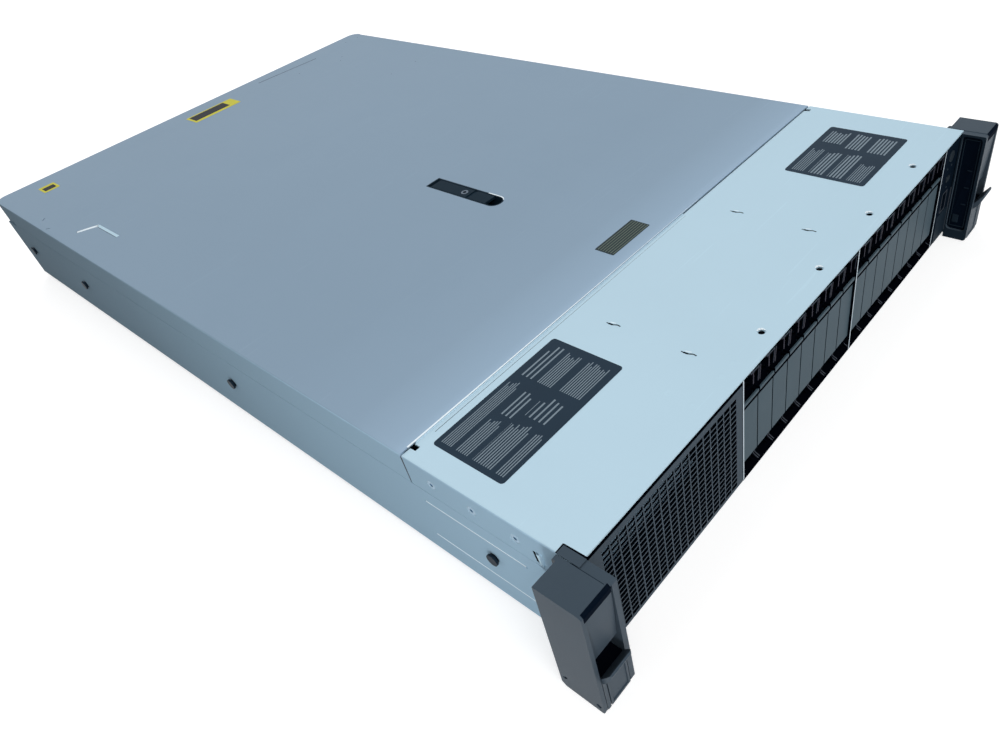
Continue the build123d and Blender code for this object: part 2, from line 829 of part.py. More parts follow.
def drive_blank(number):
    # A moulded filler: finger window with a hook at the top, a thin bar, a flat plate, a low pocket
    x0 = blank_left(number)
    x1 = x0 + blank_width
    y0 = front + blank_setback
    y1 = y0 + blank_depth
    plate_front = y0 + blank_plate_setback
    pocket_back = plate_front + blank_pocket_depth
    wall_back = plate_front + blank_front_wall
    blank = block(x0, x1, plate_front, y1, blank_bottom, blank_top)
    blank -= block(x0 + blank_wall, x1 - blank_wall, wall_back, y1 + 1,
                   blank_bottom + blank_wall, blank_top - blank_wall)
    for z0, z1 in ((blank_bottom + blank_wall, blank_plate_bottom), (blank_plate_top, blank_top + 1)):
        blank -= block(x0 - 1, x1 + 1, y0 - 1, pocket_back, z0, z1)
    blank -= block(x0 + blank_wall, x1 - blank_wall, y0, wall_back + 1,
                   blank_window_bottom, blank_top - blank_wall)
    bar_x0 = x0 + blank_bar_inset
    bar_x1 = x1 - blank_bar_inset
    blank += block(bar_x0, bar_x1, y0, y0 + blank_bar_thickness, blank_bar_bottom, blank_bar_top)
    for x in (bar_x0, bar_x1 - blank_wall):
        blank += block(x, x + blank_wall, y0, wall_back, blank_bar_bottom, blank_bar_top)
    # The hook hangs from the wall behind the window
    hook_x = x1 - blank_hook_inset
    hook_front = plate_front + blank_wall
    blank += block(hook_x, hook_x + blank_hook_width, hook_front, wall_back + blank_wall,
                   blank_hook_bottom, blank_hook_top)
    blank += block(hook_x - blank_hook_reach, hook_x + blank_hook_width, hook_front,
                   wall_back + blank_wall, blank_hook_top - blank_hook_width, blank_hook_top)
    blank += block(hook_x, x1 - blank_wall / 2, pocket_back, wall_back,
                   blank_hook_bottom, blank_hook_top)
    # Two bent ribs in the low pocket, pointing left
    low = blank_bottom + blank_wall / 2
    for i in range(2):
        tip_x = x1 - 3 * blank_mark_spacing + i * blank_mark_spacing
        bent = Polyline(
            (tip_x + 2 * blank_mark_spacing, blank_plate_bottom - 2 * blank_mark_width),
            (tip_x, blank_plate_bottom - blank_mark_width),
            (tip_x + 2 * blank_mark_spacing, low + blank_mark_width),
        )
        ribs = trace(bent, blank_mark_width)
        blank += along_y(ribs, pocket_back - blank_mark_height, pocket_back + blank_wall / 2)
    return blank


def drive_backplanes():
    solids = []
    y0 = front + cage_depth
    for bay in range(2):
        middle = (bay_lines[bay] + bay_lines[bay + 1]) / 2
        half = bay_width / 2 - fit_gap
        board = block(middle - half, middle + half, y0, y0 + board_thickness,
                      cage_floor_height, cage_top)
        for place in range(blanks_per_bay):
            x = middle + (place + 0.5 - blanks_per_bay / 2) * blank_pitch
            board += block(x - drive_plug_width / 2, x + drive_plug_width / 2,
                           y0 - drive_plug_reach, y0, drive_plug_bottom, drive_plug_top)
        side = -1 if bay == 0 else 1
        x = middle + side * cable_plug_offset
        board += block(x - cable_plug_width / 2, x + cable_plug_width / 2, y0 + board_thickness,
                       y0 + board_thickness + cable_plug_reach, cable_bottom, cable_bottom + cable_width)
        solids.append(board)
    return group(solids)


def cable_route(side):
    # A flat cable from a backplane round the fans to the front edge of the system board
    bay = 0 if side < 0 else 1
    start_x = (bay_lines[bay] + bay_lines[bay + 1]) / 2 + side * cable_plug_offset
    start_y = front + cage_depth + board_thickness + cable_plug_reach
    lane_x = side * (half_width - sheet - cable_lane_inset)
    end_x = side * cable_socket_x
    end_y = front + cable_socket_front
    return FilletPolyline(
        (start_x, start_y),
        (start_x, start_y + cable_start_run),
        (lane_x, start_y + cable_cross_run),
        (lane_x, end_y - cable_turn_run),
        (end_x, end_y - cable_end_run),
        (end_x, end_y),
        radius=cable_bend,
    )


def drive_cables():
    cables = []
    for side in (-1, 1):
        section = trace(cable_route(side), cable_thickness)
        cables.append(along_z(section, cable_bottom, cable_bottom + cable_width))
    return group(cables)


def control_panel():
    x0 = bay_lines[2] + cage_sheet / 2 + fit_gap
    x1 = foot_inner - fit_gap
    y0 = front + cage_setback
    z0 = cage_floor_height
    panel = block(x0, x1, y0, y0 + panel_depth, z0, cage_top)
    panel -= block(x0 + panel_wall, x1 - panel_wall, y0 + panel_wall, y0 + panel_depth + 1,
                   z0 + panel_wall, cage_top - panel_wall)
    x = control_x()
    hole = Pos(x, power_button_height) * Circle(power_button_radius + button_gap)
    panel -= along_y(hole, y0 - 1, y0 + panel_wall + 1)
    hole = Pos(x, locator_button_height)
    hole *= Rectangle(locator_button_width + 2 * button_gap, locator_button_tall + 2 * button_gap)
    panel -= along_y(hole, y0 - 1, y0 + panel_wall + 1)
    hole = Pos(x, front_usb_height) * Rectangle(front_usb_width, front_usb_tall)
    shell = Pos(x, front_usb_height) * Rectangle(front_usb_width + 1.4, front_usb_tall + 1.4)
    panel += along_y(shell, y0 + panel_wall, y0 + port_depth)
    panel -= along_y(hole, y0 - 1, y0 + port_depth - 1.5)
    return panel


def control_x():
    return (bay_lines[2] + ear_inner) / 2


def power_button():
    x = control_x()
    y0 = front + cage_setback - button_proud
    inner_face = front + cage_setback + panel_wall + fit_gap
    cap = along_y(Pos(x, power_button_height) * Circle(power_button_radius), y0, inner_face)
    rim = Pos(x, power_button_height) * Circle(power_button_radius + button_flange)
    return cap + along_y(rim, inner_face, inner_face + button_flange)


def locator_button():
    x = control_x()
    y0 = front + cage_setback - button_proud
    inner_face = front + cage_setback + panel_wall + fit_gap
    size = Rectangle(locator_button_width, locator_button_tall)
    cap = along_y(Pos(x, locator_button_height) * size, y0, inner_face)
    wide = Rectangle(locator_button_width + 2 * button_flange, locator_button_tall + 2 * button_flange)
    return cap + along_y(Pos(x, locator_button_height) * wide, inner_face, inner_face + button_flange)


def fan_x(index):
    return (index - (fan_count - 1) / 2) * fan_pitch


def fan_z():
    return fan_base + fan_size / 2


def fan_cage():
    half = fan_count * fan_pitch / 2 + fan_cage_wall
    y0 = front + fan_front - fan_cage_wall - fit_gap
    y1 = front + fan_front + fan_depth + fit_gap + fan_cage_wall
    cage = block(-half, half, y0, y1, sheet, fan_cage_top)
    cage -= block(-half + fan_cage_wall, half - fan_cage_wall, y0 + fan_cage_wall, y1 - fan_cage_wall,
                  fan_base - fit_gap, fan_cage_top + 1)
    cage -= block(-half + fan_cage_wall, half - fan_cage_wall, y0 + fan_cage_wall, y1 - fan_cage_wall,
                  0, fan_base - fit_gap - fan_cage_wall)
    openings = Sketch() + [
        Pos(fan_x(i), fan_z()) * RegularPolygon(fan_bore_radius, 12) for i in range(fan_count)
    ]
    cage -= along_y(openings, y0 - 1, y1 + 1)
    for i in range(1, fan_count):
        x = (fan_x(i - 1) + fan_x(i)) / 2
        cage += block(x - fan_cage_wall / 2, x + fan_cage_wall / 2, y0, y1,
                      fan_base - fit_gap - fan_cage_wall, fan_cage_top - 8)
    # A tongue over the baffle carries the striker that the latch toe pushes against
    toe_front = latch_pivot_y - latch_toe_half - striker_gap
    tongue_top = latch_pivot_height - latch_toe_length - fit_gap
    half_tongue = latch_toe_width / 2 - latch_lever_gap
    cage += block(latch_x - half_tongue, latch_x + half_tongue, y1 - fan_cage_wall, toe_front,
                  tongue_top - sheet, tongue_top)
    cage += block(latch_x - half_tongue, latch_x + half_tongue, toe_front - sheet, toe_front,
                  tongue_top - sheet, tongue_top + striker_height)
    return cage


def fan_frames():
    frames = []
    y0 = front + fan_front
    y1 = y0 + fan_depth
    for i in range(fan_count):
        x = fan_x(i)
        middle = Pos(x, fan_z())
        frame = along_y(middle * Rectangle(fan_size, fan_size) - middle * Circle(fan_bore_radius), y0, y1)
        hub = middle * RegularPolygon(fan_hub_radius, 12)
        strut_y = y1 - fan_strut_width
        frame += along_y(hub, strut_y, y1)
        for angle in (0, 120, 240):
            strut = middle * Rot(0, 0, angle) * Pos(fan_bore_radius / 2 + 0.5, 0)
            strut *= Rectangle(fan_bore_radius, fan_strut_width)
            frame += along_y(strut, strut_y, y1)
        frame += block(x - fan_size / 2, x + fan_size / 2, y0 + 4, y0 + 10,
                       fan_base + fan_size, fan_cage_top - 1.5)
        frames.append(frame)
    return group(frames)


def fan_rotor(index):
    # Hub with bent blades, its back a running gap ahead of the frame's motor seat
    length = fan_depth - fan_strut_width - fit_gap
    hub_length = length * 0.75
    rotor = along_z(RegularPolygon(fan_hub_radius - 0.5, 14), 0, hub_length)
    half = fan_blade_chord / 2
    bend = fan_blade_chord * 0.12
    blade_section = outline(
        (-half, 0),
        (0, bend),
        (half, 0),
        (half, fan_blade_thickness),
        (0, bend + fan_blade_thickness),
        (-half, fan_blade_thickness),
    )
    root = fan_hub_radius * 0.8
    blade = along_x(blade_section, root, fan_tip_radius)
    for k in range(fan_blades):
        turned = Rot(0, 0, k * 360 / fan_blades) * Pos(0, 0, hub_length / 2) * Rot(fan_blade_pitch, 0, 0)
        rotor += turned * blade
    place = Pos(fan_x(index), front + fan_front + length - hub_length, fan_z())
    return place * Rot(-90, 0, 0) * rotor


def system_board():
    # The board runs on to the rear ports beside the power supplies
    board = block(-board_half_width, board_half_width, front + board_front, psu_front - psu_gap,
                  board_height, board_top)
    board += block(psu_right + 2 * psu_gap, board_half_width, psu_front - psu_gap, rear - 2 * sheet,
                   board_height, board_top)
    for side in (-1, 1):
        x = side * cable_socket_x
        y = front + cable_socket_front
        board += block(x - cable_socket_width / 2, x + cable_socket_width / 2, y,
                       y + cable_socket_depth, board_top, cable_bottom + cable_width + board_thickness)
    chipset = Pos(chipset_x, front + chipset_setback) * Rectangle(chipset_size, chipset_size)
    choke = Pos(choke_x, front + choke_setback) * Rectangle(choke_width, choke_depth)
    board += along_z(chipset, board_top, board_top + chipset_height)
    board += along_z(choke, board_top, board_top + choke_height)
    return board


def processor_x(side):
    return side * processor_offset


def processors():
    solids = []
    for side in (-1, 1):
        x = processor_x(side)
        y = front + processor_row
        frame = block(x - socket_width / 2, x + socket_width / 2, y - socket_depth / 2,
                      y + socket_depth / 2, board_top, board_top + socket_height - lid_thickness)
        frame += block(x - lid_width / 2, x + lid_width / 2, y - lid_depth / 2, y + lid_depth / 2,
                       board_top + socket_height - lid_thickness, board_top + socket_height)
        solids.append(frame)
    return group(solids)


def heatsinks():
    solids = []
    pitch = (heatsink_width - heatsink_fin_thickness) / (heatsink_fins - 1)
    base = board_top + socket_height
    for side in (-1, 1):
        x0 = processor_x(side) - heatsink_width / 2
        y0 = front + processor_row - heatsink_depth / 2
        sink = block(x0, x0 + heatsink_width, y0, y0 + heatsink_depth, base, base + heatsink_base)
        fins = Sketch() + [
            Pos(x0 + heatsink_fin_thickness / 2 + i * pitch, base + (heatsink_base + heatsink_height) / 2)
            * Rectangle(heatsink_fin_thickness, heatsink_height - heatsink_base)
            for i in range(heatsink_fins)
        ]
        sink += along_y(fins, y0, y0 + heatsink_depth)
        solids.append(sink)
    return group(solids)


def memory_places():
    # Each processor has a bank of memory on both sides
    places = []
    for side in (-1, 1):
        for bank in (-1, 1):
            start = processor_x(side) + bank * (socket_width / 2 + memory_pitch * 0.75)
            for i in range(memory_per_bank):
                places.append(start + bank * i * memory_pitch)
    return places


def memory_sockets():
    solids = []
    y = front + processor_row
    for x in memory_places():
        body = block(x - memory_socket_width / 2, x + memory_socket_width / 2,
                     y - memory_socket_length / 2, y + memory_socket_length / 2,
                     board_top, board_top + memory_socket_height)
        body -= block(x - memory_board_thickness / 2 - 0.2, x + memory_board_thickness / 2 + 0.2,
                      y - memory_length / 2 - 0.4, y + memory_length / 2 + 0.4,
                      board_top + memory_socket_height - memory_slot_depth,
                      board_top + memory_socket_height + 1)
        solids.append(body)
    return group(solids)


def memory_modules():
    solids = []
    y = front + processor_row
    z0 = board_top + memory_socket_height - memory_slot_depth + 0.1
    for x in memory_places():
        solids.append(block(x - memory_board_thickness / 2, x + memory_board_thickness / 2,
                            y - memory_length / 2, y + memory_length / 2,
                            z0, z0 + memory_board_height))
    return group(solids)


def air_baffle():
    half = max(memory_places()) + memory_socket_width / 2 + baffle_wall + fit_gap
    top = baffle_top
    y0 = front + baffle_front
    y1 = front + baffle_rear
    baffle = block(-half, half, y0, y1, board_top, top)
    baffle -= block(-half + baffle_wall, half - baffle_wall, y0 - 1, y1 + 1, board_top - 1,
                    top - baffle_wall)
    return baffle


def rear_panel():
    z0 = sheet + fit_gap
    ledge = foot_height + sheet + fit_gap
    half = upper_wall - sheet - fit_gap
    panel = Pos(0, (z0 + wall_top) / 2) * Rectangle(2 * (foot_inner - fit_gap), wall_top - z0)
    panel += Pos(0, (ledge + wall_top) / 2) * Rectangle(2 * half, wall_top - ledge)
    psu_window_width = 2 * psu_width + psu_gap + 2 * fit_gap
    psu_middle = psu_left + psu_width + psu_gap / 2
    panel -= Pos(psu_middle, z0 + psu_height / 2) * Rectangle(psu_window_width, psu_height + 2 * fit_gap + 1)
    for x, z in slot_places():
        panel -= Pos(x, z) * Rectangle(slot_window_width, slot_window_height)
    panel -= port_window(fit_gap)
    plate = along_y(panel, rear - sheet, rear)
    flange = block(-half, half, rear - rear_flange_depth, rear - sheet, wall_top - sheet, wall_top)
    return plate + flange


def port_window(margin):
    # The field of the rear panel that the port plate closes, in X and Z
    x0 = min(dsub_centres) - port_window_margin - margin
    x1 = max(dsub_centres) + port_window_margin + margin
    z0 = port_window_bottom - margin
    z1 = port_window_top + margin
    return Pos((x0 + x1) / 2, (z0 + z1) / 2) * Rectangle(x1 - x0, z1 - z0)


def port_plate():
    plate = port_window(0)
    for x, width, tall, _ in port_places():
        plate -= Pos(x, board_top + tall / 2) * Rectangle(width + 2 * fit_gap, tall + 2 * fit_gap)
    return along_y(plate, rear - sheet, rear)


def slot_places():
    places = []
    for x in slot_centres:
        for i in range(3):
            places.append((x, slot_first_height + i * slot_pitch))
    for i in range(1, 3):
        places.append((upper_slot_centre, slot_first_height + i * slot_pitch + 1))
    return places


def slot_covers():
    covers = []
    y1 = rear - sheet
    y0 = y1 - slot_cover_thickness
    for x, z in slot_places():
        plate = Pos(x, z) * Rectangle(slot_cover_width, slot_cover_height)
        for k in range(slot_vents):
            vent_x = x + (k - (slot_vents - 1) / 2) * slot_vent_pitch
            plate -= Pos(vent_x, z) * Rectangle(slot_vent_width, slot_vent_height)
        covers.append(along_y(plate, y0, y1))
    return group(covers)


def port_places():
    # Centre, width, height and whether the port is an open socket
    places = [(x, network_port_width, network_port_tall, True) for x in network_port_centres]
    places += [(x, usb_port_width, usb_port_tall, True) for x in usb_port_centres]
    places += [(x, dsub_width, dsub_tall, False) for x in dsub_centres]
    return places


def rear_ports():
    solids = []
    for x, width, tall, hollow in port_places():
        middle = Pos(x, board_top + tall / 2)
        shell = along_y(middle * Rectangle(width, tall), rear - port_depth, rear + port_proud)
        if hollow:
            hole = middle * Rectangle(width - 2 * port_wall, tall - 2 * port_wall)
            shell -= along_y(hole, rear - port_depth + 2 * port_wall, rear + port_proud + 1)
        else:
            dee = middle * Rectangle(width - 2 * dsub_flange, tall - 3 * port_wall)
            shell += along_y(dee, rear + port_proud, rear + port_proud + dsub_reach)
        solids.append(shell)
    return group(solids)


def riser_cages():
    solids = []
    for x in slot_centres:
        half = slot_cover_width / 2 + riser_margin
        y1 = rear - rear_flange_depth - fit_gap
        y0 = y1 - riser_depth
        top = block(x - half, x + half, y0, y1, wall_top - 3 * sheet, wall_top - 2 * sheet)
        side = block(x - half, x - half + sheet, y0, y1, riser_bottom, wall_top - 3 * sheet)
        front_wall = block(x - half, x + half, y0, y0 + sheet, riser_bottom, wall_top - 3 * sheet)
        solids.append(top + side + front_wall)
    return group(solids)


def riser_boards():
    solids = []
    for x in slot_centres:
        left = x - slot_cover_width / 2 - riser_margin + sheet
        face = left + board_thickness
        y1 = rear - riser_board_setback
        y0 = y1 - riser_board_depth
        board = block(left, face, y0, y1, board_top, wall_top - 4 * sheet)
        for i in range(3):
            z = slot_first_height + i * slot_pitch - riser_socket_height
            board += block(face, face + riser_socket_reach, y0 + riser_socket_inset,
                           y1 - riser_socket_inset, z, z + riser_socket_height)
        solids.append(board)
    return group(solids)


def psu_span(index):
    x0 = psu_left + index * (psu_width + psu_gap)
    return x0, x0 + psu_width


def power_supply(index):
    x0, x1 = psu_span(index)
    z0 = sheet + fit_gap
    z1 = z0 + psu_height
    y1 = rear + psu_face_proud
    y0 = psu_front
    supply = block(x0, x1, y0, y1, z0, z1)
    supply -= block(x0 + psu_wall, x1 - psu_wall, y0 - 1, y1 - inlet_depth - 2 * psu_wall,
                    z0 + psu_wall, z1 - psu_wall)
    inlet_x = x1 - inlet_offset
    inlet_z = z0 + inlet_lift + inlet_tall / 2
    supply -= block(x0 + psu_wall, x1 - psu_wall, y1 - inlet_depth - 3 * psu_wall, y1 - 2 * psu_wall,
                    z0 + 2 * inlet_lift + inlet_tall, z1 - psu_wall)
    inlet = Rectangle(inlet_width - 2 * inlet_wall, inlet_tall - 2 * inlet_wall)
    supply -= along_y(Pos(inlet_x, inlet_z) * inlet, y1 - inlet_depth, y1 + 1)
    for i in (-1, 0, 1):
        lift = blade_rise if i == 0 else -blade_drop
        blade = Pos(inlet_x + i * blade_pitch, inlet_z + lift) * Rectangle(blade_width, blade_tall)
        supply += along_y(blade, y1 - inlet_depth - psu_wall / 2, y1 - blade_tall)
    vents = Sketch()
    for i in range(psu_vents):
        vent_x = x0 + psu_vent_inset + i * psu_vent_pitch
        vents += Pos(vent_x, z1 - psu_vent_tall - psu_wall) * Rectangle(psu_vent_width, psu_vent_tall)
    supply -= along_y(vents, y1 - 3 * psu_wall, y1 + 1)
    half = psu_handle_width / 2
    handle_x = x0 + psu_handle_offset + half
    handle_z = z0 + psu_handle_lift
    handle_y1 = y1 + psu_handle_reach
    lower = handle_z - psu_handle_tall / 2
    upper = handle_z + psu_handle_tall / 2
    for side in (-1, 1):
        edge = handle_x + side * (half - psu_handle_bar / 2)
        supply += block(edge - psu_handle_bar / 2, edge + psu_handle_bar / 2, y1, handle_y1, lower, upper)
    supply += block(handle_x - half, handle_x + half, handle_y1 - psu_handle_bar, handle_y1, lower, upper)
    latch_middle = psu_latch_x(index)
    notch_half = psu_latch_half + psu_notch_margin
    supply -= block(latch_middle - notch_half, latch_middle + notch_half,
                    y1 - psu_latch_root - lap_gap, y1 + 1,
                    z0 + psu_latch_bottom - psu_notch_margin, z0 + psu_latch_top + psu_notch_margin)
    return supply


def psu_latch_x(index):
    return psu_span(index)[0] + psu_latch_offset


def power_supply_latch(index):
    # A sprung thumb tab beside the handle
    x = psu_latch_x(index)
    z0 = sheet + fit_gap
    y1 = rear + psu_face_proud
    left = x - psu_latch_half
    end = y1 + psu_latch_reach
    tab = block(left, left + psu_latch_thickness, y1 - psu_latch_root, end,
                z0 + psu_latch_bottom, z0 + psu_latch_top)
    tab += block(left, x + psu_latch_half, end - psu_latch_pad, end,
                 z0 + psu_latch_bottom, z0 + psu_latch_top)
    return tab


def rail_studs():
    solids = []
    for row in stud_rows:
        centre = Pos(front + row, stud_height)
        stud = along_x(centre * Circle(stud_neck_radius), half_width - sheet, half_width + stud_neck_length)
        collar = centre * Circle(stud_collar_radius)
        stud += along_x(collar, half_width + pin_clearance, half_width + stud_collar_length)
        head_start = half_width + stud_neck_length
        stud += along_x(centre * Circle(stud_head_radius), head_start, head_start + stud_head_thickness)
        solids += both_sides(stud)
    return group(solids)


def flush_screws():
    solids = []
    for row in flush_screw_rows:
        centre = Pos(front + row, flush_screw_height)
        head_end = half_width - pin_clearance
        head = along_x(centre * Circle(flush_screw_head_radius), half_width - sheet + pin_clearance, head_end)
        shank = along_x(centre * Circle(flush_screw_shank_radius), half_width - flush_screw_length,
                        half_width - sheet + pin_clearance)
        socket = centre * RegularPolygon(flush_screw_socket_radius, 6)
        screw = head + shank - along_x(socket, head_end - flush_screw_socket_depth, head_end + 1)
        solids += both_sides(screw)
    return group(solids)


def build_parts():
    parts = {
        "chassis_tray": chassis_tray(),
        "rear_panel": rear_panel(),
        "port_plate": port_plate(),
        "front_top_plate": front_top_plate(),
        "hood": hood(),
        "hood_latch_bezel": hood_latch_bezel(),
        "hood_latch_lever": hood_latch_lever(),
        "hood_latch_lock": hood_latch_lock(),
        "right_ear": right_ear(),
        "left_ear": mirror(right_ear(), about=Plane.YZ),
        "right_ear_lever": right_ear_lever(),
        "left_ear_lever": mirror(right_ear_lever(), about=Plane.YZ),
        "captive_screws": captive_screws(),
        "bay_grille": bay_grille(),
        "drive_cages": drive_cages(),
        "drive_backplanes": drive_backplanes(),
        "drive_cables": drive_cables(),
        "control_panel": control_panel(),
        "power_button": power_button(),
        "locator_button": locator_button(),
        "fan_cage": fan_cage(),
        "fan_frames": fan_frames(),
        "system_board": system_board(),
        "processors": processors(),
        "heatsinks": heatsinks(),
        "memory_sockets": memory_sockets(),
        "memory_modules": memory_modules(),
        "air_baffle": air_baffle(),
        "riser_cages": riser_cages(),
        "riser_boards": riser_boards(),
        "slot_covers": slot_covers(),
        "rear_ports": rear_ports(),
        "rail_studs": rail_studs(),
        "flush_screws": flush_screws(),
    }
    for i in range(2 * blanks_per_bay):
        parts[f"drive_blank_{i + 1:02d}"] = drive_blank(i)
    for i in range(fan_count):
        parts[f"fan_rotor_{i + 1}"] = fan_rotor(i)
    for i in range(2):
        parts[f"power_supply_{i + 1}"] = power_supply(i)
        parts[f"power_supply_{i + 1}_latch"] = power_supply_latch(i)
    return parts


os.makedirs("parts", exist_ok=True)
for name, shape in build_parts().items():
    export_step(shape, f"parts/{name}.step")
    print(name)
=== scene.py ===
import json
import math

import bmesh
import bpy
from mathutils import Euler, Matrix, Vector


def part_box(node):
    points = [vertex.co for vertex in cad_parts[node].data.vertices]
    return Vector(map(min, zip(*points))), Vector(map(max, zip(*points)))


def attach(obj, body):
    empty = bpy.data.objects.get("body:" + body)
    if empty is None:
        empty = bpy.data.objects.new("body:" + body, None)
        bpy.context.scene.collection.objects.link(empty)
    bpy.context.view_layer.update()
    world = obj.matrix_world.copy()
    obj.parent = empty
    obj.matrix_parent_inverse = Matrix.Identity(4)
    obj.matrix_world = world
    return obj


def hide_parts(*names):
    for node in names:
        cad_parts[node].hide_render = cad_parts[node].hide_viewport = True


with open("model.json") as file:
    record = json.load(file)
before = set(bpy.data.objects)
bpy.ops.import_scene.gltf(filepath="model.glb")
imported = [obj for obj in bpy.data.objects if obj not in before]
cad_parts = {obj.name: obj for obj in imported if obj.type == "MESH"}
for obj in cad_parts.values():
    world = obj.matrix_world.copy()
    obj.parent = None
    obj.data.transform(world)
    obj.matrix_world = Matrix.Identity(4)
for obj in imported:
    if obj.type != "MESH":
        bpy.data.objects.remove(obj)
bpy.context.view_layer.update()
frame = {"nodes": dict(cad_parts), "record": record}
print("frame loaded", len(frame["nodes"]), "nodes")

record = frame["record"]
bodyOf = {}
for bodyName, bodyNodes in record["behaviour"]["bodies"].items():
    for nodeName in bodyNodes:
        bodyOf[nodeName] = bodyName
slotOf = {entry["node"]: entry["material_slot"] for entry in record["subparts"]}

# Sizes of the part that the forms below are placed by, in mm
mm = 0.001
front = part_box("front_top_plate")[0].y / mm
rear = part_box("chassis_tray")[1].y / mm
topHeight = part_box("hood")[1].z / mm
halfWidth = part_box("chassis_tray")[1].x / mm
seam = front + 120.0
up, down, forward, rearward = (0, 0, 1), (0, 0, -1), (0, -1, 0), (0, 1, 0)


# Node helpers

def addNode(tree, kind, inputs=None, **settings):
    made = tree.nodes.new(kind)
    for key, value in settings.items():
        setattr(made, key, value)
    for key, value in (inputs or {}).items():
        socket = made.inputs[key]
        if isinstance(value, bpy.types.NodeSocket):
            tree.links.new(value, socket)
        else:
            socket.default_value = value
    return made


def mathNode(tree, operation, first, second=0.0):
    return addNode(tree, "ShaderNodeMath", {0: first, 1: second}, operation=operation).outputs[0]


def linear(tree, value, share, base):
    # The share of the value, on top of the base
    return mathNode(tree, "ADD", mathNode(tree, "MULTIPLY", value, share), base)


def bandMask(tree, value, low, high):
    # One where the value lies between low and high, else nothing
    above = mathNode(tree, "GREATER_THAN", value, low)
    return mathNode(tree, "MULTIPLY", above, mathNode(tree, "LESS_THAN", value, high))


def objectPlace(tree):
    return addNode(tree, "ShaderNodeTexCoord").outputs["Object"]


def splitPlace(tree):
    return addNode(tree, "ShaderNodeSeparateXYZ", {"Vector": objectPlace(tree)}).outputs


def noiseNode(tree, place, scale, detail, **others):
    values = {"Vector": place, "Scale": scale, "Detail": detail, **others}
    return addNode(tree, "ShaderNodeTexNoise", values).outputs["Fac"]


def linkBump(tree, shader, height, strength, distance):
    bump = addNode(tree, "ShaderNodeBump", {"Height": height, "Strength": strength, "Distance": distance})
    tree.links.new(bump.outputs[0], shader.inputs["Normal"])


def seenByCamera(tree):
    # One for camera rays, and for those that reach the camera by a reflection or through glass
    rays = addNode(tree, "ShaderNodeLightPath").outputs
    indirect = mathNode(tree, "MAXIMUM", rays["Is Glossy Ray"], rays["Is Transmission Ray"])
    return mathNode(tree, "MAXIMUM", rays["Is Camera Ray"], indirect)


def tinted(colour, share, lift=0.0):
    # The colour scaled and lifted, with full cover
    return [min(1, channel * share + lift) for channel in colour] + [1]


def rampNode(tree, value, stops):
    made = addNode(tree, "ShaderNodeValToRGB", {"Fac": value})
    ramp = made.color_ramp
    while len(ramp.elements) < len(stops):
        ramp.elements.new(0.5)
    for element, (place, shade) in zip(ramp.elements, stops):
        element.position = place
        element.color = (shade, shade, shade, 1)
    return made.outputs["Color"]


def mixColour(tree, factor, first, second, blend="MIX"):
    return addNode(tree, "ShaderNodeMix", {0: factor, 6: first, 7: second}, data_type="RGBA",
                   blend_type=blend).outputs[2]


def newGroup(name, inputs, outputs):
    tree = bpy.data.node_groups.new(name, "ShaderNodeTree")
    for label, value in inputs.items():
        socket = tree.interface.new_socket(name=label, in_out="INPUT", socket_type="NodeSocketFloat")
        socket.default_value = value
    for label in outputs:
        tree.interface.new_socket(name=label, in_out="OUTPUT", socket_type="NodeSocketFloat")
    return tree, tree.nodes.new("NodeGroupInput"), tree.nodes.new("NodeGroupOutput")


def placeGroup(tree, group, values):
    return addNode(tree, "ShaderNodeGroup", values, node_tree=group).outputs


# Shared surface effects

def rolledGrainGroup():
    # Fine rolling lines along Y with soft clouding, as on coated sheet
    tree, given, result = newGroup(
        "Rolled grain", {"Fineness": 1.0, "Cloud Size": 9.0}, ("Grain", "Cloud"))
    place = objectPlace(tree)
    stretched = addNode(tree, "ShaderNodeMapping", {"Vector": place, "Scale": (1800, 55, 1800)})
    lines = noiseNode(tree, stretched.outputs[0], given.outputs["Fineness"], 3.0, Roughness=0.6)
    cloud = noiseNode(tree, place, given.outputs["Cloud Size"], 5.0, Roughness=0.55, Distortion=0.6)
    tree.links.new(lines, result.inputs["Grain"])
    tree.links.new(cloud, result.inputs["Cloud"])
    return tree


def mouldGrainGroup():
    # The even pebbled skin of a textured moulding
    tree, given, result = newGroup(
        "Mould grain", {"Pebble Scale": 2600.0, "Shade Scale": 30.0}, ("Pebble", "Shade"))
    place = objectPlace(tree)
    pebble = noiseNode(tree, place, given.outputs["Pebble Scale"], 2.0)
    shade = noiseNode(tree, place, given.outputs["Shade Scale"], 4.0)
    tree.links.new(pebble, result.inputs["Pebble"])
    tree.links.new(shade, result.inputs["Shade"])
    return tree


def handlingGroup():
    # Sparse rubs, dust and short scratches from being slid in and out of racks
    tree, given, result = newGroup(
        "Handling", {"Amount": 0.5, "Rub Size": 14.0}, ("Rub", "Scratch"))
    place, amount = objectPlace(tree), given.outputs["Amount"]
    patch = noiseNode(tree, place, given.outputs["Rub Size"], 8.0, Roughness=0.7)
    rub = mathNode(tree, "MULTIPLY", rampNode(tree, patch, [(0.52, 0), (0.72, 1)]), amount)
    turned = addNode(tree, "ShaderNodeMapping",
                     {"Vector": place, "Rotation": (0, 0, 0.5), "Scale": (14, 420, 420)})
    streak = noiseNode(tree, turned.outputs[0], 1.0, 2.0)
    scratch = mathNode(tree, "MULTIPLY", rampNode(tree, streak, [(0.70, 0), (0.74, 1)]), amount)
    tree.links.new(rub, result.inputs["Rub"])
    tree.links.new(scratch, result.inputs["Scratch"])
    return tree


rolledGrain = rolledGrainGroup()
mouldGrain = mouldGrainGroup()
handling = handlingGroup()


# Finishes

def newMaterial(name, metallic, roughness):
    made = bpy.data.materials.new(name)
    made.use_nodes = True
    shader = made.node_tree.nodes["Principled BSDF"]
    shader.inputs["Metallic"].default_value = metallic
    shader.inputs["Roughness"].default_value = roughness
    return made, made.node_tree, shader


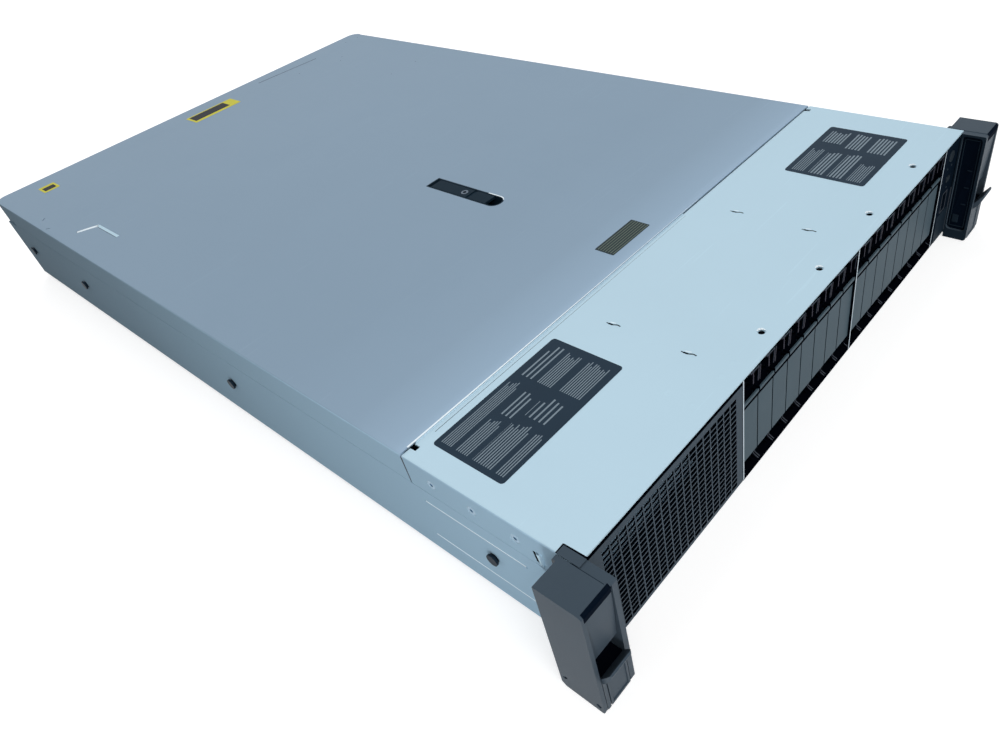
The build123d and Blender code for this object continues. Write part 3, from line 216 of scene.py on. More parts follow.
def paintLightAlongDepth(tree, colour, stops):
    # Painted light and shade: the colour, made paler or darker along Y by the stops (mm from the front,
    # share)
    first, last = stops[0][0], stops[-1][0]
    span = addNode(tree, "ShaderNodeMapRange",
                   {"Value": splitPlace(tree)["Y"], "From Min": (front + first) * mm,
                    "From Max": (front + last) * mm})
    # The ramp holds half the share, since a colour of it ends at one
    halves = rampNode(tree, span.outputs["Result"],
                      [((y - first) / (last - first), share / 2) for y, share in stops])
    shares = mixColour(tree, 1.0, halves, (2, 2, 2, 1), "MULTIPLY")
    return mixColour(tree, 1.0, colour, shares, "MULTIPLY")


def paintedApronShade(tree, colour, depth, height, shadow):
    # Painted shade: the front apron, up to a depth and above a height in mm, takes a dark colour because it
    # lies in the shade of the bays
    split = splitPlace(tree)
    ahead = mathNode(tree, "LESS_THAN", split["Y"], (front + depth) * mm)
    above = mathNode(tree, "GREATER_THAN", split["Z"], height * mm)
    return mixColour(tree, mathNode(tree, "MULTIPLY", ahead, above), colour, tinted(shadow, 1))


def sheetSteel(name, colour, roughness=0.55, metallic=0.1, contrast=0.04, wear=0.35, gloss=0.15,
               paintedDepthLight=None, apron=None):
    # Coated sheet: clouded, finely lined along the roll, with a few scratches and rubs; where given,
    # painted light and shade along Y and a painted shade on the front apron
    made, tree, shader = newMaterial(name, metallic, roughness)
    shader.inputs["Specular IOR Level"].default_value = gloss
    grain = placeGroup(tree, rolledGrain, {"Fineness": 1.0, "Cloud Size": 7.0})
    marks = placeGroup(tree, handling, {"Amount": wear, "Rub Size": 11.0})
    lighter = tinted(colour, 1 + contrast)
    tone = mixColour(tree, grain["Cloud"], tinted(colour, 1 - contrast), lighter)
    tone = mixColour(tree, mathNode(tree, "MULTIPLY", grain["Grain"], 0.25), tone, lighter)
    scratches = mathNode(tree, "MULTIPLY", marks["Scratch"], 0.35)
    tone = mixColour(tree, scratches, tone, tinted(colour, 1.25, 0.03))
    if paintedDepthLight:
        tone = paintLightAlongDepth(tree, tone, paintedDepthLight)
    if apron:
        tone = paintedApronShade(tree, tone, *apron)
    tree.links.new(tone, shader.inputs["Base Color"])
    rough = linear(tree, grain["Grain"], 0.14, mathNode(tree, "MULTIPLY", marks["Rub"], 0.12))
    tree.links.new(mathNode(tree, "ADD", rough, roughness - 0.07), shader.inputs["Roughness"])
    linkBump(tree, shader, grain["Grain"], 0.10, 0.0001)
    return made


def mouldedPlastic(name, colour, roughness=0.5, pebble=2600.0, sheen=0.2):
    # Textured moulding with a slightly blue sheen, uneven in tone and rubbed here and there
    made, tree, shader = newMaterial(name, 0.0, roughness)
    shader.inputs["Specular IOR Level"].default_value = sheen
    shader.inputs["Specular Tint"].default_value = (0.5, 0.78, 1.0, 1)
    grain = placeGroup(tree, mouldGrain, {"Pebble Scale": pebble, "Shade Scale": 26.0})
    marks = placeGroup(tree, handling, {"Amount": 0.4, "Rub Size": 40.0})
    tone = mixColour(tree, grain["Shade"], tinted(colour, 0.88), tinted(colour, 1.12))
    rubs = mathNode(tree, "MULTIPLY", marks["Rub"], 0.35)
    tree.links.new(mixColour(tree, rubs, tone, tinted(colour, 1.2, 0.006)), shader.inputs["Base Color"])
    tree.links.new(linear(tree, grain["Pebble"], 0.12, roughness - 0.06), shader.inputs["Roughness"])
    linkBump(tree, shader, grain["Pebble"], 0.25, 0.00015)
    return made


def circuitBoard(name, colour):
    # Solder mask over faint copper runs
    made, tree, shader = newMaterial(name, 0.0, 0.32)
    runs = addNode(tree, "ShaderNodeTexVoronoi", {"Vector": objectPlace(tree), "Scale": 260.0},
                   feature="DISTANCE_TO_EDGE", distance="CHEBYCHEV")
    lines = rampNode(tree, runs.outputs["Distance"], [(0.02, 1), (0.06, 0)])
    tone = mixColour(tree, lines, tinted(colour, 1), tinted(colour, 1.9, 0.01))
    tree.links.new(tone, shader.inputs["Base Color"])
    linkBump(tree, shader, lines, 0.2, 0.0001)
    return made


def brightMetal(name, colour, roughness=0.22):
    # Bare or plated metal, clouded and finely ground
    made, tree, shader = newMaterial(name, 1.0, roughness)
    grain = placeGroup(tree, rolledGrain, {"Fineness": 2.0, "Cloud Size": 60.0})
    tone = mixColour(tree, grain["Cloud"], tinted(colour, 0.9), tinted(colour, 1))
    tree.links.new(tone, shader.inputs["Base Color"])
    tree.links.new(linear(tree, grain["Grain"], 0.12, roughness - 0.05), shader.inputs["Roughness"])
    return made


def printedLabel(name, ground, ink, blocks, border=None):
    # Satin film with blocks of plain ruled lines, ragged at one end; no lettering
    roughness = 0.5
    made, tree, shader = newMaterial(name, 0.0, roughness)
    shader.inputs["Specular IOR Level"].default_value = 0.08
    place = objectPlace(tree)
    split = splitPlace(tree)
    across, deep = split["X"], split["Y"]
    tone = mixColour(tree, noiseNode(tree, place, 40.0, 4.0), tinted(ground, 0.85), tinted(ground, 1.15))
    for x0, x1, y0, y1, pitch, weight, ragged in blocks:
        row = mathNode(tree, "DIVIDE", mathNode(tree, "SUBTRACT", deep, y0 * mm), pitch * mm)
        number = mathNode(tree, "ADD", mathNode(tree, "FLOOR", row), x0)
        chance = addNode(tree, "ShaderNodeTexWhiteNoise", {"W": number}, noise_dimensions="1D")
        shorter = mathNode(tree, "MULTIPLY", chance.outputs["Value"], ragged * mm)
        end = mathNode(tree, "SUBTRACT", x1 * mm, shorter)
        inside = mathNode(tree, "MULTIPLY", bandMask(tree, across, x0 * mm, end),
                          bandMask(tree, deep, y0 * mm, y1 * mm))
        line = mathNode(tree, "LESS_THAN", mathNode(tree, "FRACT", row), weight)
        tone = mixColour(tree, mathNode(tree, "MULTIPLY", inside, line), tone, tinted(ink, 1))
    if border:
        x0, x1, y0, y1, shade = border
        inside = mathNode(tree, "MULTIPLY", bandMask(tree, across, x0 * mm, x1 * mm),
                          bandMask(tree, deep, y0 * mm, y1 * mm))
        tone = mixColour(tree, inside, tone, tinted(shade, 1))
    tree.links.new(tone, shader.inputs["Base Color"])
    fine = noiseNode(tree, place, 900.0, 2.0)
    tree.links.new(linear(tree, fine, 0.1, roughness - 0.05), shader.inputs["Roughness"])
    return made


finish = {
    # The plate, tray and hood are one coated sheet: the tray and hood take darker copies of the plate's
    # tone as painted shade, with painted light and shade along their depth (the hood paler near the seam,
    # the tray darker towards the rear) and a painted shade on the tray's front apron
    "plate_steel": sheetSteel("Plate sheet", (0.495, 0.675, 0.79)),
    "tray_steel": sheetSteel(
        "Tray sheet", (0.35, 0.515, 0.65), roughness=0.7, metallic=0.0, gloss=0.03,
        paintedDepthLight=[(0, 1.12), (100, 1.0), (240, 0.84), (480, 0.52), (730, 0.36)],
        apron=(3.2, 1.3, (0.012, 0.018, 0.026))),
    "hood_steel": sheetSteel(
        "Hood sheet", (0.242, 0.338, 0.44), contrast=0.03,
        paintedDepthLight=[(119, 1.40), (128, 1.22), (165, 1.05), (230, 1.0), (730, 0.98)]),
    "cage_steel": sheetSteel("Cage sheet", (0.56, 0.65, 0.72), metallic=0.4, wear=0.2),
    "bezel_plastic": mouldedPlastic("Bezel moulding", (0.050, 0.070, 0.092), roughness=0.45, sheen=0.1),
    "blank_plastic": mouldedPlastic("Blank moulding", (0.060, 0.094, 0.118), sheen=0.1),
    "grille_paint": mouldedPlastic("Grille coat", (0.040, 0.060, 0.082), pebble=3600.0, sheen=0.1),
    "panel_plastic": mouldedPlastic("Panel moulding", (0.0035, 0.008, 0.0155), roughness=0.6, sheen=0.01),
    "button_plastic": mouldedPlastic("Button moulding", (0.020, 0.028, 0.036), roughness=0.4, sheen=0.15),
    "latch_plastic": mouldedPlastic("Latch moulding", (0.009, 0.021, 0.034), sheen=0.03),
    "lock_metal": brightMetal("Lock plug", (0.10, 0.13, 0.17), 0.4),
    "release_plastic": mouldedPlastic("Release tab", (0.30, 0.045, 0.03), roughness=0.4),
    "fan_plastic": mouldedPlastic("Fan moulding", (0.018, 0.018, 0.021)),
    "board_laminate": circuitBoard("Board laminate", (0.006, 0.06, 0.028)),
    "socket_plastic": mouldedPlastic("Socket moulding", (0.02, 0.02, 0.024)),
    "processor_metal": brightMetal("Nickel lid", (0.62, 0.62, 0.6)),
    "heatsink_aluminium": brightMetal("Fin aluminium", (0.72, 0.74, 0.76), 0.32),
    "baffle_plastic": mouldedPlastic("Baffle moulding", (0.016, 0.016, 0.017), roughness=0.55),
    "port_metal": brightMetal("Port shell", (0.60, 0.61, 0.62)),
    "cable_jacket": mouldedPlastic("Cable jacket", (0.015, 0.03, 0.09)),
    "screw_steel": brightMetal("Screw steel", (0.27, 0.40, 0.51), 0.35),
    "stud_steel": mouldedPlastic("Stud blacking", (0.010, 0.019, 0.030), roughness=0.45, sheen=0.06),
}
rearSteel = sheetSteel("Rear sheet", (0.40, 0.47, 0.53), roughness=0.45, metallic=0.4, gloss=0.3)
nodeFinish = {"rear_panel": rearSteel, "fan_cage": rearSteel, "riser_cages": rearSteel}
# Painted light and shade: recess, deep and rim are darker tones laid on faces where shade falls (rim also
# stands for the blanks' dark shell), dim and dusk are mid tones laid as painted shade on lit sheet and as
# dimly lit edges in dark pockets, and glint is a pale sheet laid as a painted highlight
shades = {
    "recess": mouldedPlastic("Recess shade", (0.0020, 0.0050, 0.0115), roughness=0.8, sheen=0.02),
    "deep": mouldedPlastic("Deep shade", (0.0010, 0.0018, 0.0042), roughness=0.85, sheen=0.0),
    "rim": mouldedPlastic("Rim shade", (0.010, 0.018, 0.028), roughness=0.6, sheen=0.06),
    "dim": mouldedPlastic("Dim shade", (0.052, 0.060, 0.075), roughness=0.6, sheen=0.06),
    "dusk": mouldedPlastic("Dusk shade", (0.046, 0.044, 0.060), roughness=0.6, sheen=0.06),
    "glint": sheetSteel("Painted highlight", (0.80, 0.90, 0.96), roughness=0.4, wear=0.1),
}
print("materials ready", len(finish))


# Pieces from the part's own nodes

def roundedCopy(nodeName, width):
    # The node's own shape with its outer edges broken, as a real edge is
    source = frame["nodes"][nodeName]
    shape = bmesh.new()
    shape.from_mesh(source.data)
    bmesh.ops.remove_doubles(shape, verts=shape.verts, dist=2e-6)
    bmesh.ops.dissolve_limit(shape, angle_limit=math.radians(0.6), verts=shape.verts, edges=shape.edges,
                             use_dissolve_boundaries=False, delimit=set())
    limit = math.radians(dressing["roundedFrom"])
    edges = [edge for edge in shape.edges
             if edge.is_manifold and edge.calc_face_angle_signed(0.0) > limit]
    bmesh.ops.bevel(shape, geom=edges, offset=width, offset_type="OFFSET", segments=2,
                    profile=0.5, affect="EDGES", clamp_overlap=True, material=-1)
    bmesh.ops.triangulate(shape, faces=[face for face in shape.faces if len(face.verts) > 4])
    if nodeName.startswith("drive_blank"):
        addBlankEdges(shape, *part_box(nodeName))
    return finishPiece(shape, nodeName + "_dressed", bodyOf[nodeName], slotOf[nodeName], [nodeName])


def finishPiece(shape, name, body, slotName, replaced=(), smooth=True, material=None):
    mesh = bpy.data.meshes.new(name)
    shape.to_mesh(mesh)
    shape.free()
    if smooth:
        mesh.polygons.foreach_set("use_smooth", [True] * len(mesh.polygons))
        mesh.set_sharp_from_angle(angle=math.radians(28))
    mesh.materials.append(material or finish[slotName])
    piece = bpy.data.objects.new(name, mesh)
    bpy.context.scene.collection.objects.link(piece)
    if smooth:
        even = piece.modifiers.new("even shading", "WEIGHTED_NORMAL")
        even.keep_sharp = True
        even.weight = 80
    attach(piece, body)
    if replaced:
        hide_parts(*replaced)
    return piece


# Strips, paths and discs for the small forms

def addStrip(shape, start, end, width, thickness, outward, rounding=0.3, taper=1.0):
    # A low rounded bar from start to end (mm), standing on a face that looks outward
    start, end, outward = Vector(start) * mm, Vector(end) * mm, Vector(outward).normalized()
    along = (end - start).normalized()
    across = outward.cross(along)
    turn = Matrix((along, across, outward)).transposed().to_4x4()
    place = Matrix.Translation((start + end) / 2 + outward * thickness * mm / 2) @ turn
    sizes = Matrix.Diagonal(((end - start).length, width * mm, thickness * mm, 1))
    made = bmesh.ops.create_cube(shape, size=1.0, matrix=place @ sizes)
    far = [vert for vert in made["verts"] if (vert.co - end).length < (vert.co - start).length]
    for vert in far:
        offset = (vert.co - end).dot(across)
        vert.co -= across * offset * (1 - taper)
    raised = [vert for vert in made["verts"] if (vert.co - start).dot(outward) > thickness * mm / 2]
    edges = {edge for vert in raised for edge in vert.link_edges if edge.other_vert(vert) in raised}
    bmesh.ops.bevel(shape, geom=list(edges), offset=min(width, thickness) * rounding * mm,
                    offset_type="OFFSET", segments=2, profile=0.5, affect="EDGES", material=-1)


def addRow(shape, row, outward, origin=(0, 0, 0), rounding=0.3):
    # A strip from a table: start and end (mm from the origin), width, thickness and taper
    start, end, width, thickness, taper = row
    start = [place + shift for place, shift in zip(start, origin)]
    end = [place + shift for place, shift in zip(end, origin)]
    addStrip(shape, start, end, width, thickness, outward, rounding, taper)


def addPath(shape, points, widths, z, thickness, rounding=0.3):
    # Strips end to end through the points (X, Y), on a face that looks up
    for start, end, width in zip(points, points[1:], widths):
        addStrip(shape, (*start, z), (*end, z), width, thickness, up, rounding)


def arcPoints(x, y, radius, turns):
    return [(x + radius * math.cos(math.radians(turn)), y + radius * math.sin(math.radians(turn)))
            for turn in turns]


def spread(count, pitch):
    # Even places about the middle
    return [(index - (count - 1) / 2) * pitch for index in range(count)]


def addDisc(shape, place, radii, depth, segments, turn=0):
    # A low cone whose middle lies at the place (mm); it looks up, and the turn about X tips it
    matrix = Matrix.Translation(Vector(place) * mm) @ Matrix.Rotation(math.radians(turn), 4, "X")
    made = bmesh.ops.create_cone(shape, cap_ends=True, segments=segments, radius1=radii[0] * mm,
                                 radius2=radii[1] * mm, depth=depth * mm, matrix=matrix)
    return made["verts"]


def shadeFaces(piece, material, test):
    # The faces that the test picks take a second material
    piece.data.materials.append(material)
    index = len(piece.data.materials) - 1
    for face in piece.data.polygons:
        if test(face.center / mm, face.normal):
            face.material_index = index


# Faces given painted shade, and the bent edges of the blanks

# Limits between faces left lit and faces given painted shade, in mm
depths = {
    "blankFace": front + 2.3, "blankFloor": 7.2, "pocketEnd": front + 8.0,
    "edgeLow": 7.0, "edgeHigh": 16.8, "wallWidth": 1.15, "wallEnd": front + 7.8,
    "windowFoot": 67.4, "windowTop": 81.3, "hookFace": front + 3.3,
    "cageEdge": front + 0.5, "cageFloor": 7.0, "grilleFace": front + 0.7, "flange": 220.0,
    "earRecess": 217.6, "earFloor": 220.5, "earInner": 218.1,
    "pocketFace": front - 15.2, "pocketLow": 29.0, "pocketHigh": 43.8,
}


def shadeBlank(piece):
    low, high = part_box(piece.name.replace("_dressed", ""))

    def onWallEdge(at):
        inset = min(at.x - low.x / mm, high.x / mm - at.x)
        return inset < depths["wallWidth"] and at.y < depths["wallEnd"]

    # Painted shade on the blank: the rim tone on its sides and rear, standing for its dark shell as well,
    # the deep tone in its pockets, and the dim and dusk tones on the wall edges and window faces, dimmed
    # for the shade in there
    shadeFaces(piece, shades["rim"], lambda at, to: abs(to.x) > 0.6 or at.y > depths["pocketEnd"])
    shadeFaces(piece, shades["deep"], lambda at, to: at.y < depths["pocketEnd"]
               and (at.z < depths["blankFloor"] or at.y > depths["blankFace"]))
    shadeFaces(piece, shades["dim"], lambda at, to: abs(to.x) < 0.9 and to.y < -0.1
               and at.y < depths["pocketEnd"] and depths["edgeLow"] < at.z < depths["edgeHigh"]
               and onWallEdge(at))
    shadeFaces(piece, shades["dim"], lambda at, to: to.y < -0.5 and at.z > depths["windowTop"]
               and at.y < depths["hookFace"] and not onWallEdge(at))
    shadeFaces(piece, shades["dusk"], lambda at, to: to.y < -0.5 and at.z > depths["windowFoot"]
               and at.y < depths["hookFace"])


blankEdges = {
    "inset": 0.6, "thickness": 0.4,
    # Y from the plate's front and Z of both ends, width, outward
    "foot": [((4.9, 12.8), (4.3, 9.4), 0.8, (0, -0.98, 0.18)),
             ((4.3, 9.5), (0.7, 7.5), 0.8, (0, -0.48, 0.88))],
    # Y from the blank's own front and Z of both ends, width
    "side": ((0.5, 81.8), (1.0, 71.0), 0.7),
    # X inside the blank's right side of both ends, Y from its own front, Z, width
    "top": ((0.4, 9.0), 0.45, 81.9, 0.6),
}


def addBlankEdges(shape, low, high):
    # The bent front edges of the side walls, seen as lines in the low pocket, and the
    # straight ones with the top edge in the window
    ownFront, thickness = low.y / mm, blankEdges["thickness"]
    (y0, z0), (y1, z1), sideWidth = blankEdges["side"]
    for x in (low.x / mm + blankEdges["inset"], high.x / mm - blankEdges["inset"]):
        for start, end, width, outward in blankEdges["foot"]:
            addStrip(shape, (x, front + start[0], start[1]), (x, front + end[0], end[1]), width,
                     thickness, outward)
        addStrip(shape, (x, ownFront + y0, z0), (x, ownFront + y1, z1), sideWidth, thickness, forward)
    (near, far), y, z, width = blankEdges["top"]
    addStrip(shape, (high.x / mm - near, ownFront + y, z), (high.x / mm - far, ownFront + y, z), width,
             thickness, forward)


def shadeCage(piece):
    # Painted shade: faces behind the cage's front edges, and those near its floor, take the deep tone
    shadeFaces(piece, shades["deep"], lambda at, to: at.y > depths["cageEdge"]
               or at.z < depths["cageFloor"])


def shadeGrille(piece):
    # Painted shade: faces behind the grille's front face take the deep tone
    shadeFaces(piece, shades["deep"], lambda at, to: at.y > depths["grilleFace"])


def shadeFlanges(piece):
    # The folded sides take the tray's darker tone as painted shade, to lie in the same light as the tray's
    # wall
    shadeFaces(piece, finish["tray_steel"], lambda at, to: abs(to.x) > 0.7
               and abs(at.x) > depths["flange"])


def shadeEar(piece):
    # Painted shade: the recess tone on the recess faces that look towards the bays, and the rim tone on the
    # rim
    shadeFaces(piece, shades["recess"], lambda at, to: to.x * at.x < 0 and abs(to.x) > 0.3
               and depths["earRecess"] < abs(at.x) < depths["earFloor"])
    shadeFaces(piece, shades["rim"], lambda at, to: to.x * at.x < 0 and abs(to.x) > 0.3
               and abs(at.x) < depths["earInner"])


def shadeLever(piece):
    # Painted shade: the deep tone inside the lever's pocket
    shadeFaces(piece, shades["deep"], lambda at, to: at.y > depths["pocketFace"] and abs(to.x) < 0.6
               and depths["pocketLow"] < at.z < depths["pocketHigh"] and to.y < 0.5)


dressing = {
    "roundedFrom": 35.0, "blankEdge": 0.2 * mm,
    "edgeWidth": {
        "drive_cages": 0.05 * mm, "bay_grille": 0.03 * mm,
        "front_top_plate": 0.25 * mm, "hood": 0.25 * mm, "chassis_tray": 0.2 * mm,
        "right_ear": 0.35 * mm, "left_ear": 0.35 * mm,
        "right_ear_lever": 0.35 * mm, "left_ear_lever": 0.35 * mm,
        "hood_latch_bezel": 0.2 * mm, "hood_latch_lever": 0.25 * mm,
        "control_panel": 0.2 * mm, "power_button": 0.3 * mm, "locator_button": 0.25 * mm,
        "power_supply_1": 0.3 * mm, "power_supply_2": 0.3 * mm,
        "power_supply_1_latch": 0.3 * mm, "power_supply_2_latch": 0.3 * mm,
    },
    "shading": {
        "hood": shadeFlanges, "front_top_plate": shadeFlanges, "drive_cages": shadeCage,
        "left_ear": shadeEar, "right_ear": shadeEar, "left_ear_lever": shadeLever,
        "right_ear_lever": shadeLever, "bay_grille": shadeGrille,
    },
}
for nodeName in frame["nodes"]:
    isBlank = nodeName.startswith("drive_blank")
    width = dressing["blankEdge"] if isBlank else dressing["edgeWidth"].get(nodeName)
    shading = shadeBlank if isBlank else dressing["shading"].get(nodeName)
    if width:
        dressed = roundedCopy(nodeName, width)
        if shading:
            shading(dressed)
    else:
        held = frame["nodes"][nodeName]
        held.data.materials.clear()
        held.data.materials.append(nodeFinish.get(nodeName, finish[slotOf[nodeName]]))
print("nodes dressed")


# Labels: bare films with plain ruled lines, a little proud of the sheet

def addPlate(shape, low, high, radius):
    # A rounded flat plate, its corners low and high in mm
    middle = [(a + b) / 2 * mm for a, b in zip(low, high)]
    size = [(b - a) * mm for a, b in zip(low, high)]
    place = Matrix.Translation((middle[0], middle[1], low[2] * mm))
    made = bmesh.ops.create_grid(shape, x_segments=1, y_segments=1, size=0.5,
                                 matrix=place @ Matrix.Diagonal((size[0], size[1], 1, 1)))
    bmesh.ops.bevel(shape, geom=made["verts"], offset=radius * mm, offset_type="OFFSET", segments=5,
                    profile=0.5, affect="VERTICES", material=-1)
    raised = bmesh.ops.extrude_face_region(shape, geom=shape.faces[:])
    grown = [item for item in raised["geom"] if isinstance(item, bmesh.types.BMVert)]
    bmesh.ops.translate(shape, verts=grown, vec=(0, 0, size[2]))
    bmesh.ops.recalc_face_normals(shape, faces=shape.faces)


# A block of ruled lines is given by its sides in X and Y, the lines' pitch, the inked share of
# the pitch, and how far the lines' ends are ragged
labels = {
    "gap": 0.02, "thickness": 0.16, "corner": 2.2,
    "film": (0.014, 0.031, 0.052), "ink": (0.21, 0.27, 0.32),
    "large_label": {
        "body": "chassis", "low": (-207.7, -305.0), "high": (-109.0, -253.5),
        "blocks": [(-204, -148, -264, -256, 1.35, 0.42, 6), (-204, -176, -276, -267, 1.5, 0.42, 4),
                   (-172, -150, -277, -268, 3.0, 0.35, 5), (-143, -112, -266, -257, 3.2, 0.34, 9),
                   (-143, -114, -280, -270, 1.5, 0.42, 5), (-204, -170, -293, -280, 1.6, 0.42, 6),
                   (-166, -146, -296, -282, 3.4, 0.32, 8), (-142, -114, -300, -285, 1.5, 0.42, 4),
                   (-204, -172, -302, -296, 1.5, 0.42, 3)],
    },
    "small_label": {
        "body": "chassis", "low": (120.5, -336.2), "high": (194.4, -277.3),
        "blocks": [(124, 160, -290, -281, 1.6, 0.4, 8), (124, 158, -304, -294, 2.4, 0.5, 4),
                   (124, 160, -318, -308, 2.4, 0.5, 4), (124, 150, -332, -322, 1.6, 0.4, 5),
                   (170, 190, -296, -282, 2.2, 0.5, 5), (166, 190, -312, -300, 2.4, 0.5, 3),
                   (166, 190, -331, -317, 2.4, 0.5, 3)],
    },
    "hood_label": {
        "body": "hood", "low": (-23.8, -232.5), "high": (17.5, -216.7), "corner": 0.7,
        "film": (0.022, 0.036, 0.042), "ink": (0.14, 0.18, 0.14),
        "blocks": [(-22.8, 16.8, -231.6, -217.4, 2.1, 0.26, 0)],
    },
    "rear_label": {
        "body": "hood", "low": (-27.0, 320.0), "high": (28.0, 342.5), "corner": 1.0,
        "film": (0.62, 0.58, 0.06), "ink": (0.012, 0.014, 0.016),
        "blocks": [], "border": (-24.5, 17.0, 324.5, 340.5, (0.012, 0.014, 0.018)),
    },
    "corner_label": {
        "body": "hood", "low": (-188.5, 325.0), "high": (-173.5, 342.0), "corner": 1.0,
        "film": (0.62, 0.58, 0.06), "ink": (0.012, 0.014, 0.016),
        "blocks": [], "border": (-186.5, -175.5, 328.0, 337.5, (0.012, 0.014, 0.018)),
    },
}


def makeLabel(name):
    values = labels[name]
    shape = bmesh.new()
    foot = topHeight + labels["gap"]
    addPlate(shape, (*values["low"], foot), (*values["high"], foot + labels["thickness"]),
             values.get("corner", labels["corner"]))
    material = printedLabel(name.replace("_", " "), values.get("film", labels["film"]),
                            values.get("ink", labels["ink"]), values["blocks"], values.get("border"))
    return finishPiece(shape, name, values["body"], "panel_plastic", smooth=False, material=material)


for name in ("large_label", "small_label", "hood_label", "rear_label", "corner_label"):
    makeLabel(name)
print("labels laid")


# Small forms of the sheet, many with painted highlights and painted shade; a strip is given as start, end,
# width, thickness and taper, in mm

sideLines = {"rows": [((0, 38.8, 54.25), (0, 113.2, 54.25), 0.55, 0.35, 1.0),
                      ((0, 12.0, 22.25), (0, 116.7, 22.25), 0.55, 0.35, 1.0)], "sunk": 0.15}


def makeSideLines():
    # A strip on each line stamped in the side walls, with a painted highlight for its lit flank
    shape = bmesh.new()
    for side in (-1, 1):
        for row in sideLines["rows"]:
            addRow(shape, row, (side, 0, 0), (side * (halfWidth - sideLines["sunk"]), front, 0))
    bmesh.ops.recalc_face_normals(shape, faces=shape.faces)
    finishPiece(shape, "side_lines", "chassis", "tray_steel", material=shades["glint"])


seamForms = {
    "glint": ((6 - halfWidth, 1.35, -0.02), (60, 1.35, -0.02), 1.15, 0.16, 0.12),
    "ledge": ((11 - halfWidth, 0.55, -1.0), (40, 0.55, -1.0), 1.1, 0.8, 0.5),
    "fold": ((0.2 - halfWidth, 0.4, -1.5), (0.2 - halfWidth, 0.4, -21), 1.4, 0.25, 0.4),
    "crease": ((22 - halfWidth, -3.2, 0), (38, -2.9, 0), 0.32, 0.03, 0.3),
}


def makeSeam():
    # A painted highlight on the hood's front edge, the ledge below it, a painted shadow strip in the side
    # seam's gap, and a fine dark line in painted shade along the crease
    origin = (0, seam, topHeight)
    shape, ledge, line = bmesh.new(), bmesh.new(), bmesh.new()
    addRow(shape, seamForms["glint"], up, origin)
    addRow(ledge, seamForms["ledge"], up, origin)
    addRow(line, seamForms["fold"], (-1, 0, 0), origin)
    addRow(line, seamForms["crease"], up, origin)
    finishPiece(shape, "seam_glint", "hood", "hood_steel", material=shades["glint"])
    finishPiece(ledge, "seam_ledge", "chassis", "plate_steel")
    finishPiece(line, "seam_shade_lines", "chassis", "plate_steel", material=shades["dim"])


lances = {
    "places": [(-81.5, 35.5), (-81.5, 88.0), (57.0, 35.5), (57.0, 88.0)], "gap": 0.01,
    "tongue": ((0, -4.6, 0), (0, 4.6, 0), 2.6, 0.05, 1.0),
    "cutPoints": [(-0.6, 5.0), (-0.7, 3.4), (-0.6, 0.4), (0.6, -2.2), (0.3, -4.6)],
    "cutWidths": (0.6, 1.2, 0.9, 0.8), "cutLift": 0.05, "cutThickness": 0.03,
    "lip": ((0.75, 3.0, 0.05), (1.5, -0.6, 0.05), 0.5, 0.12, 1.0),
}


def makeLances():
    patch, cut, lip = bmesh.new(), bmesh.new(), bmesh.new()
    for x, row in lances["places"]:
        y, z = front + row, topHeight + lances["gap"]
        addRow(patch, lances["tongue"], up, (x, y, z))
        addPath(cut, [(x + across, y + along) for across, along in lances["cutPoints"]],
                lances["cutWidths"], z + lances["cutLift"], lances["cutThickness"])
        addRow(lip, lances["lip"], up, (x, y, z))
    # Painted shade: each cut is a dark strip laid on the sheet round its tongue; painted highlight: the lip
    # beside it
    finishPiece(patch, "lance_tongues", "chassis", "plate_steel", smooth=False)
    finishPiece(cut, "lance_cuts", "chassis", "plate_steel", smooth=False, material=shades["deep"])
    finishPiece(lip, "lance_lips", "chassis", "plate_steel", material=shades["glint"])


pressMarks = {
    "places": [(-76, 11), (-88, 10.4), (-113, 28.7), (-114, 11.6), (-84, 61), (190, 109),
               (202, 25), (193, 12), (206, 11)],
    "radii": (2.2, 1.5), "depth": 0.16, "lift": 0.07,
    "pressedFrom": 0.4, "pressedAbove": 0.1, "pressedBy": 0.13,
}
hoodNicks = {
    "dots": [(151.6, 665), (161, 675), (107, 685), (144.6, 564), (180, 564), (195.6, 712.6),
             (212.6, 711)],
    "radii": (0.55, 0.4), "depth": 0.08, "lift": 0.03,
    "groove": ((69.5, 713.6, 0), (145.6, 706.3, 0), 1.0, 0.04, 1.0),
}


def makePressMarks():
    shape, dots = bmesh.new(), bmesh.new()
    for x, row in pressMarks["places"]:
        y = front + row
        verts = addDisc(shape, (x, y, topHeight + pressMarks["lift"]), pressMarks["radii"],
                        pressMarks["depth"], 20)
        arc = [vert for vert in verts if vert.co.y < (y - pressMarks["pressedFrom"]) * mm
               and vert.co.z > (topHeight + pressMarks["pressedAbove"]) * mm]
        bmesh.ops.translate(shape, verts=arc, vec=(0, 0, -pressMarks["pressedBy"] * mm))
    # Painted shade: the hood's nicks and groove are dark dots and a line in the dim tone
    for x, row in hoodNicks["dots"]:
        addDisc(dots, (x, front + row, topHeight + hoodNicks["lift"]), hoodNicks["radii"],
                hoodNicks["depth"], 12)
    addRow(dots, hoodNicks["groove"], up, (0, front, topHeight))
    finishPiece(shape, "press_marks", "chassis", "plate_steel")
    finishPiece(dots, "hood_nicks", "hood", "hood_steel", smooth=False, material=shades["dim"])


bead = {
    "sunk": 0.55,
    "glint": ((-190.8, 564.0, 0), (-206.6, 572.4, 0), 3.8, 0.5, 0.7),
    "flank": ((-190.8, 564.8, 0), (-190.8, 525.5, 0), 2.8, 0.5, 1.0),
    "line": ((-192.5, 562.0, 0.1), (-192.5, 525.5, 0.1), 0.5, 0.45, 1.0),
}


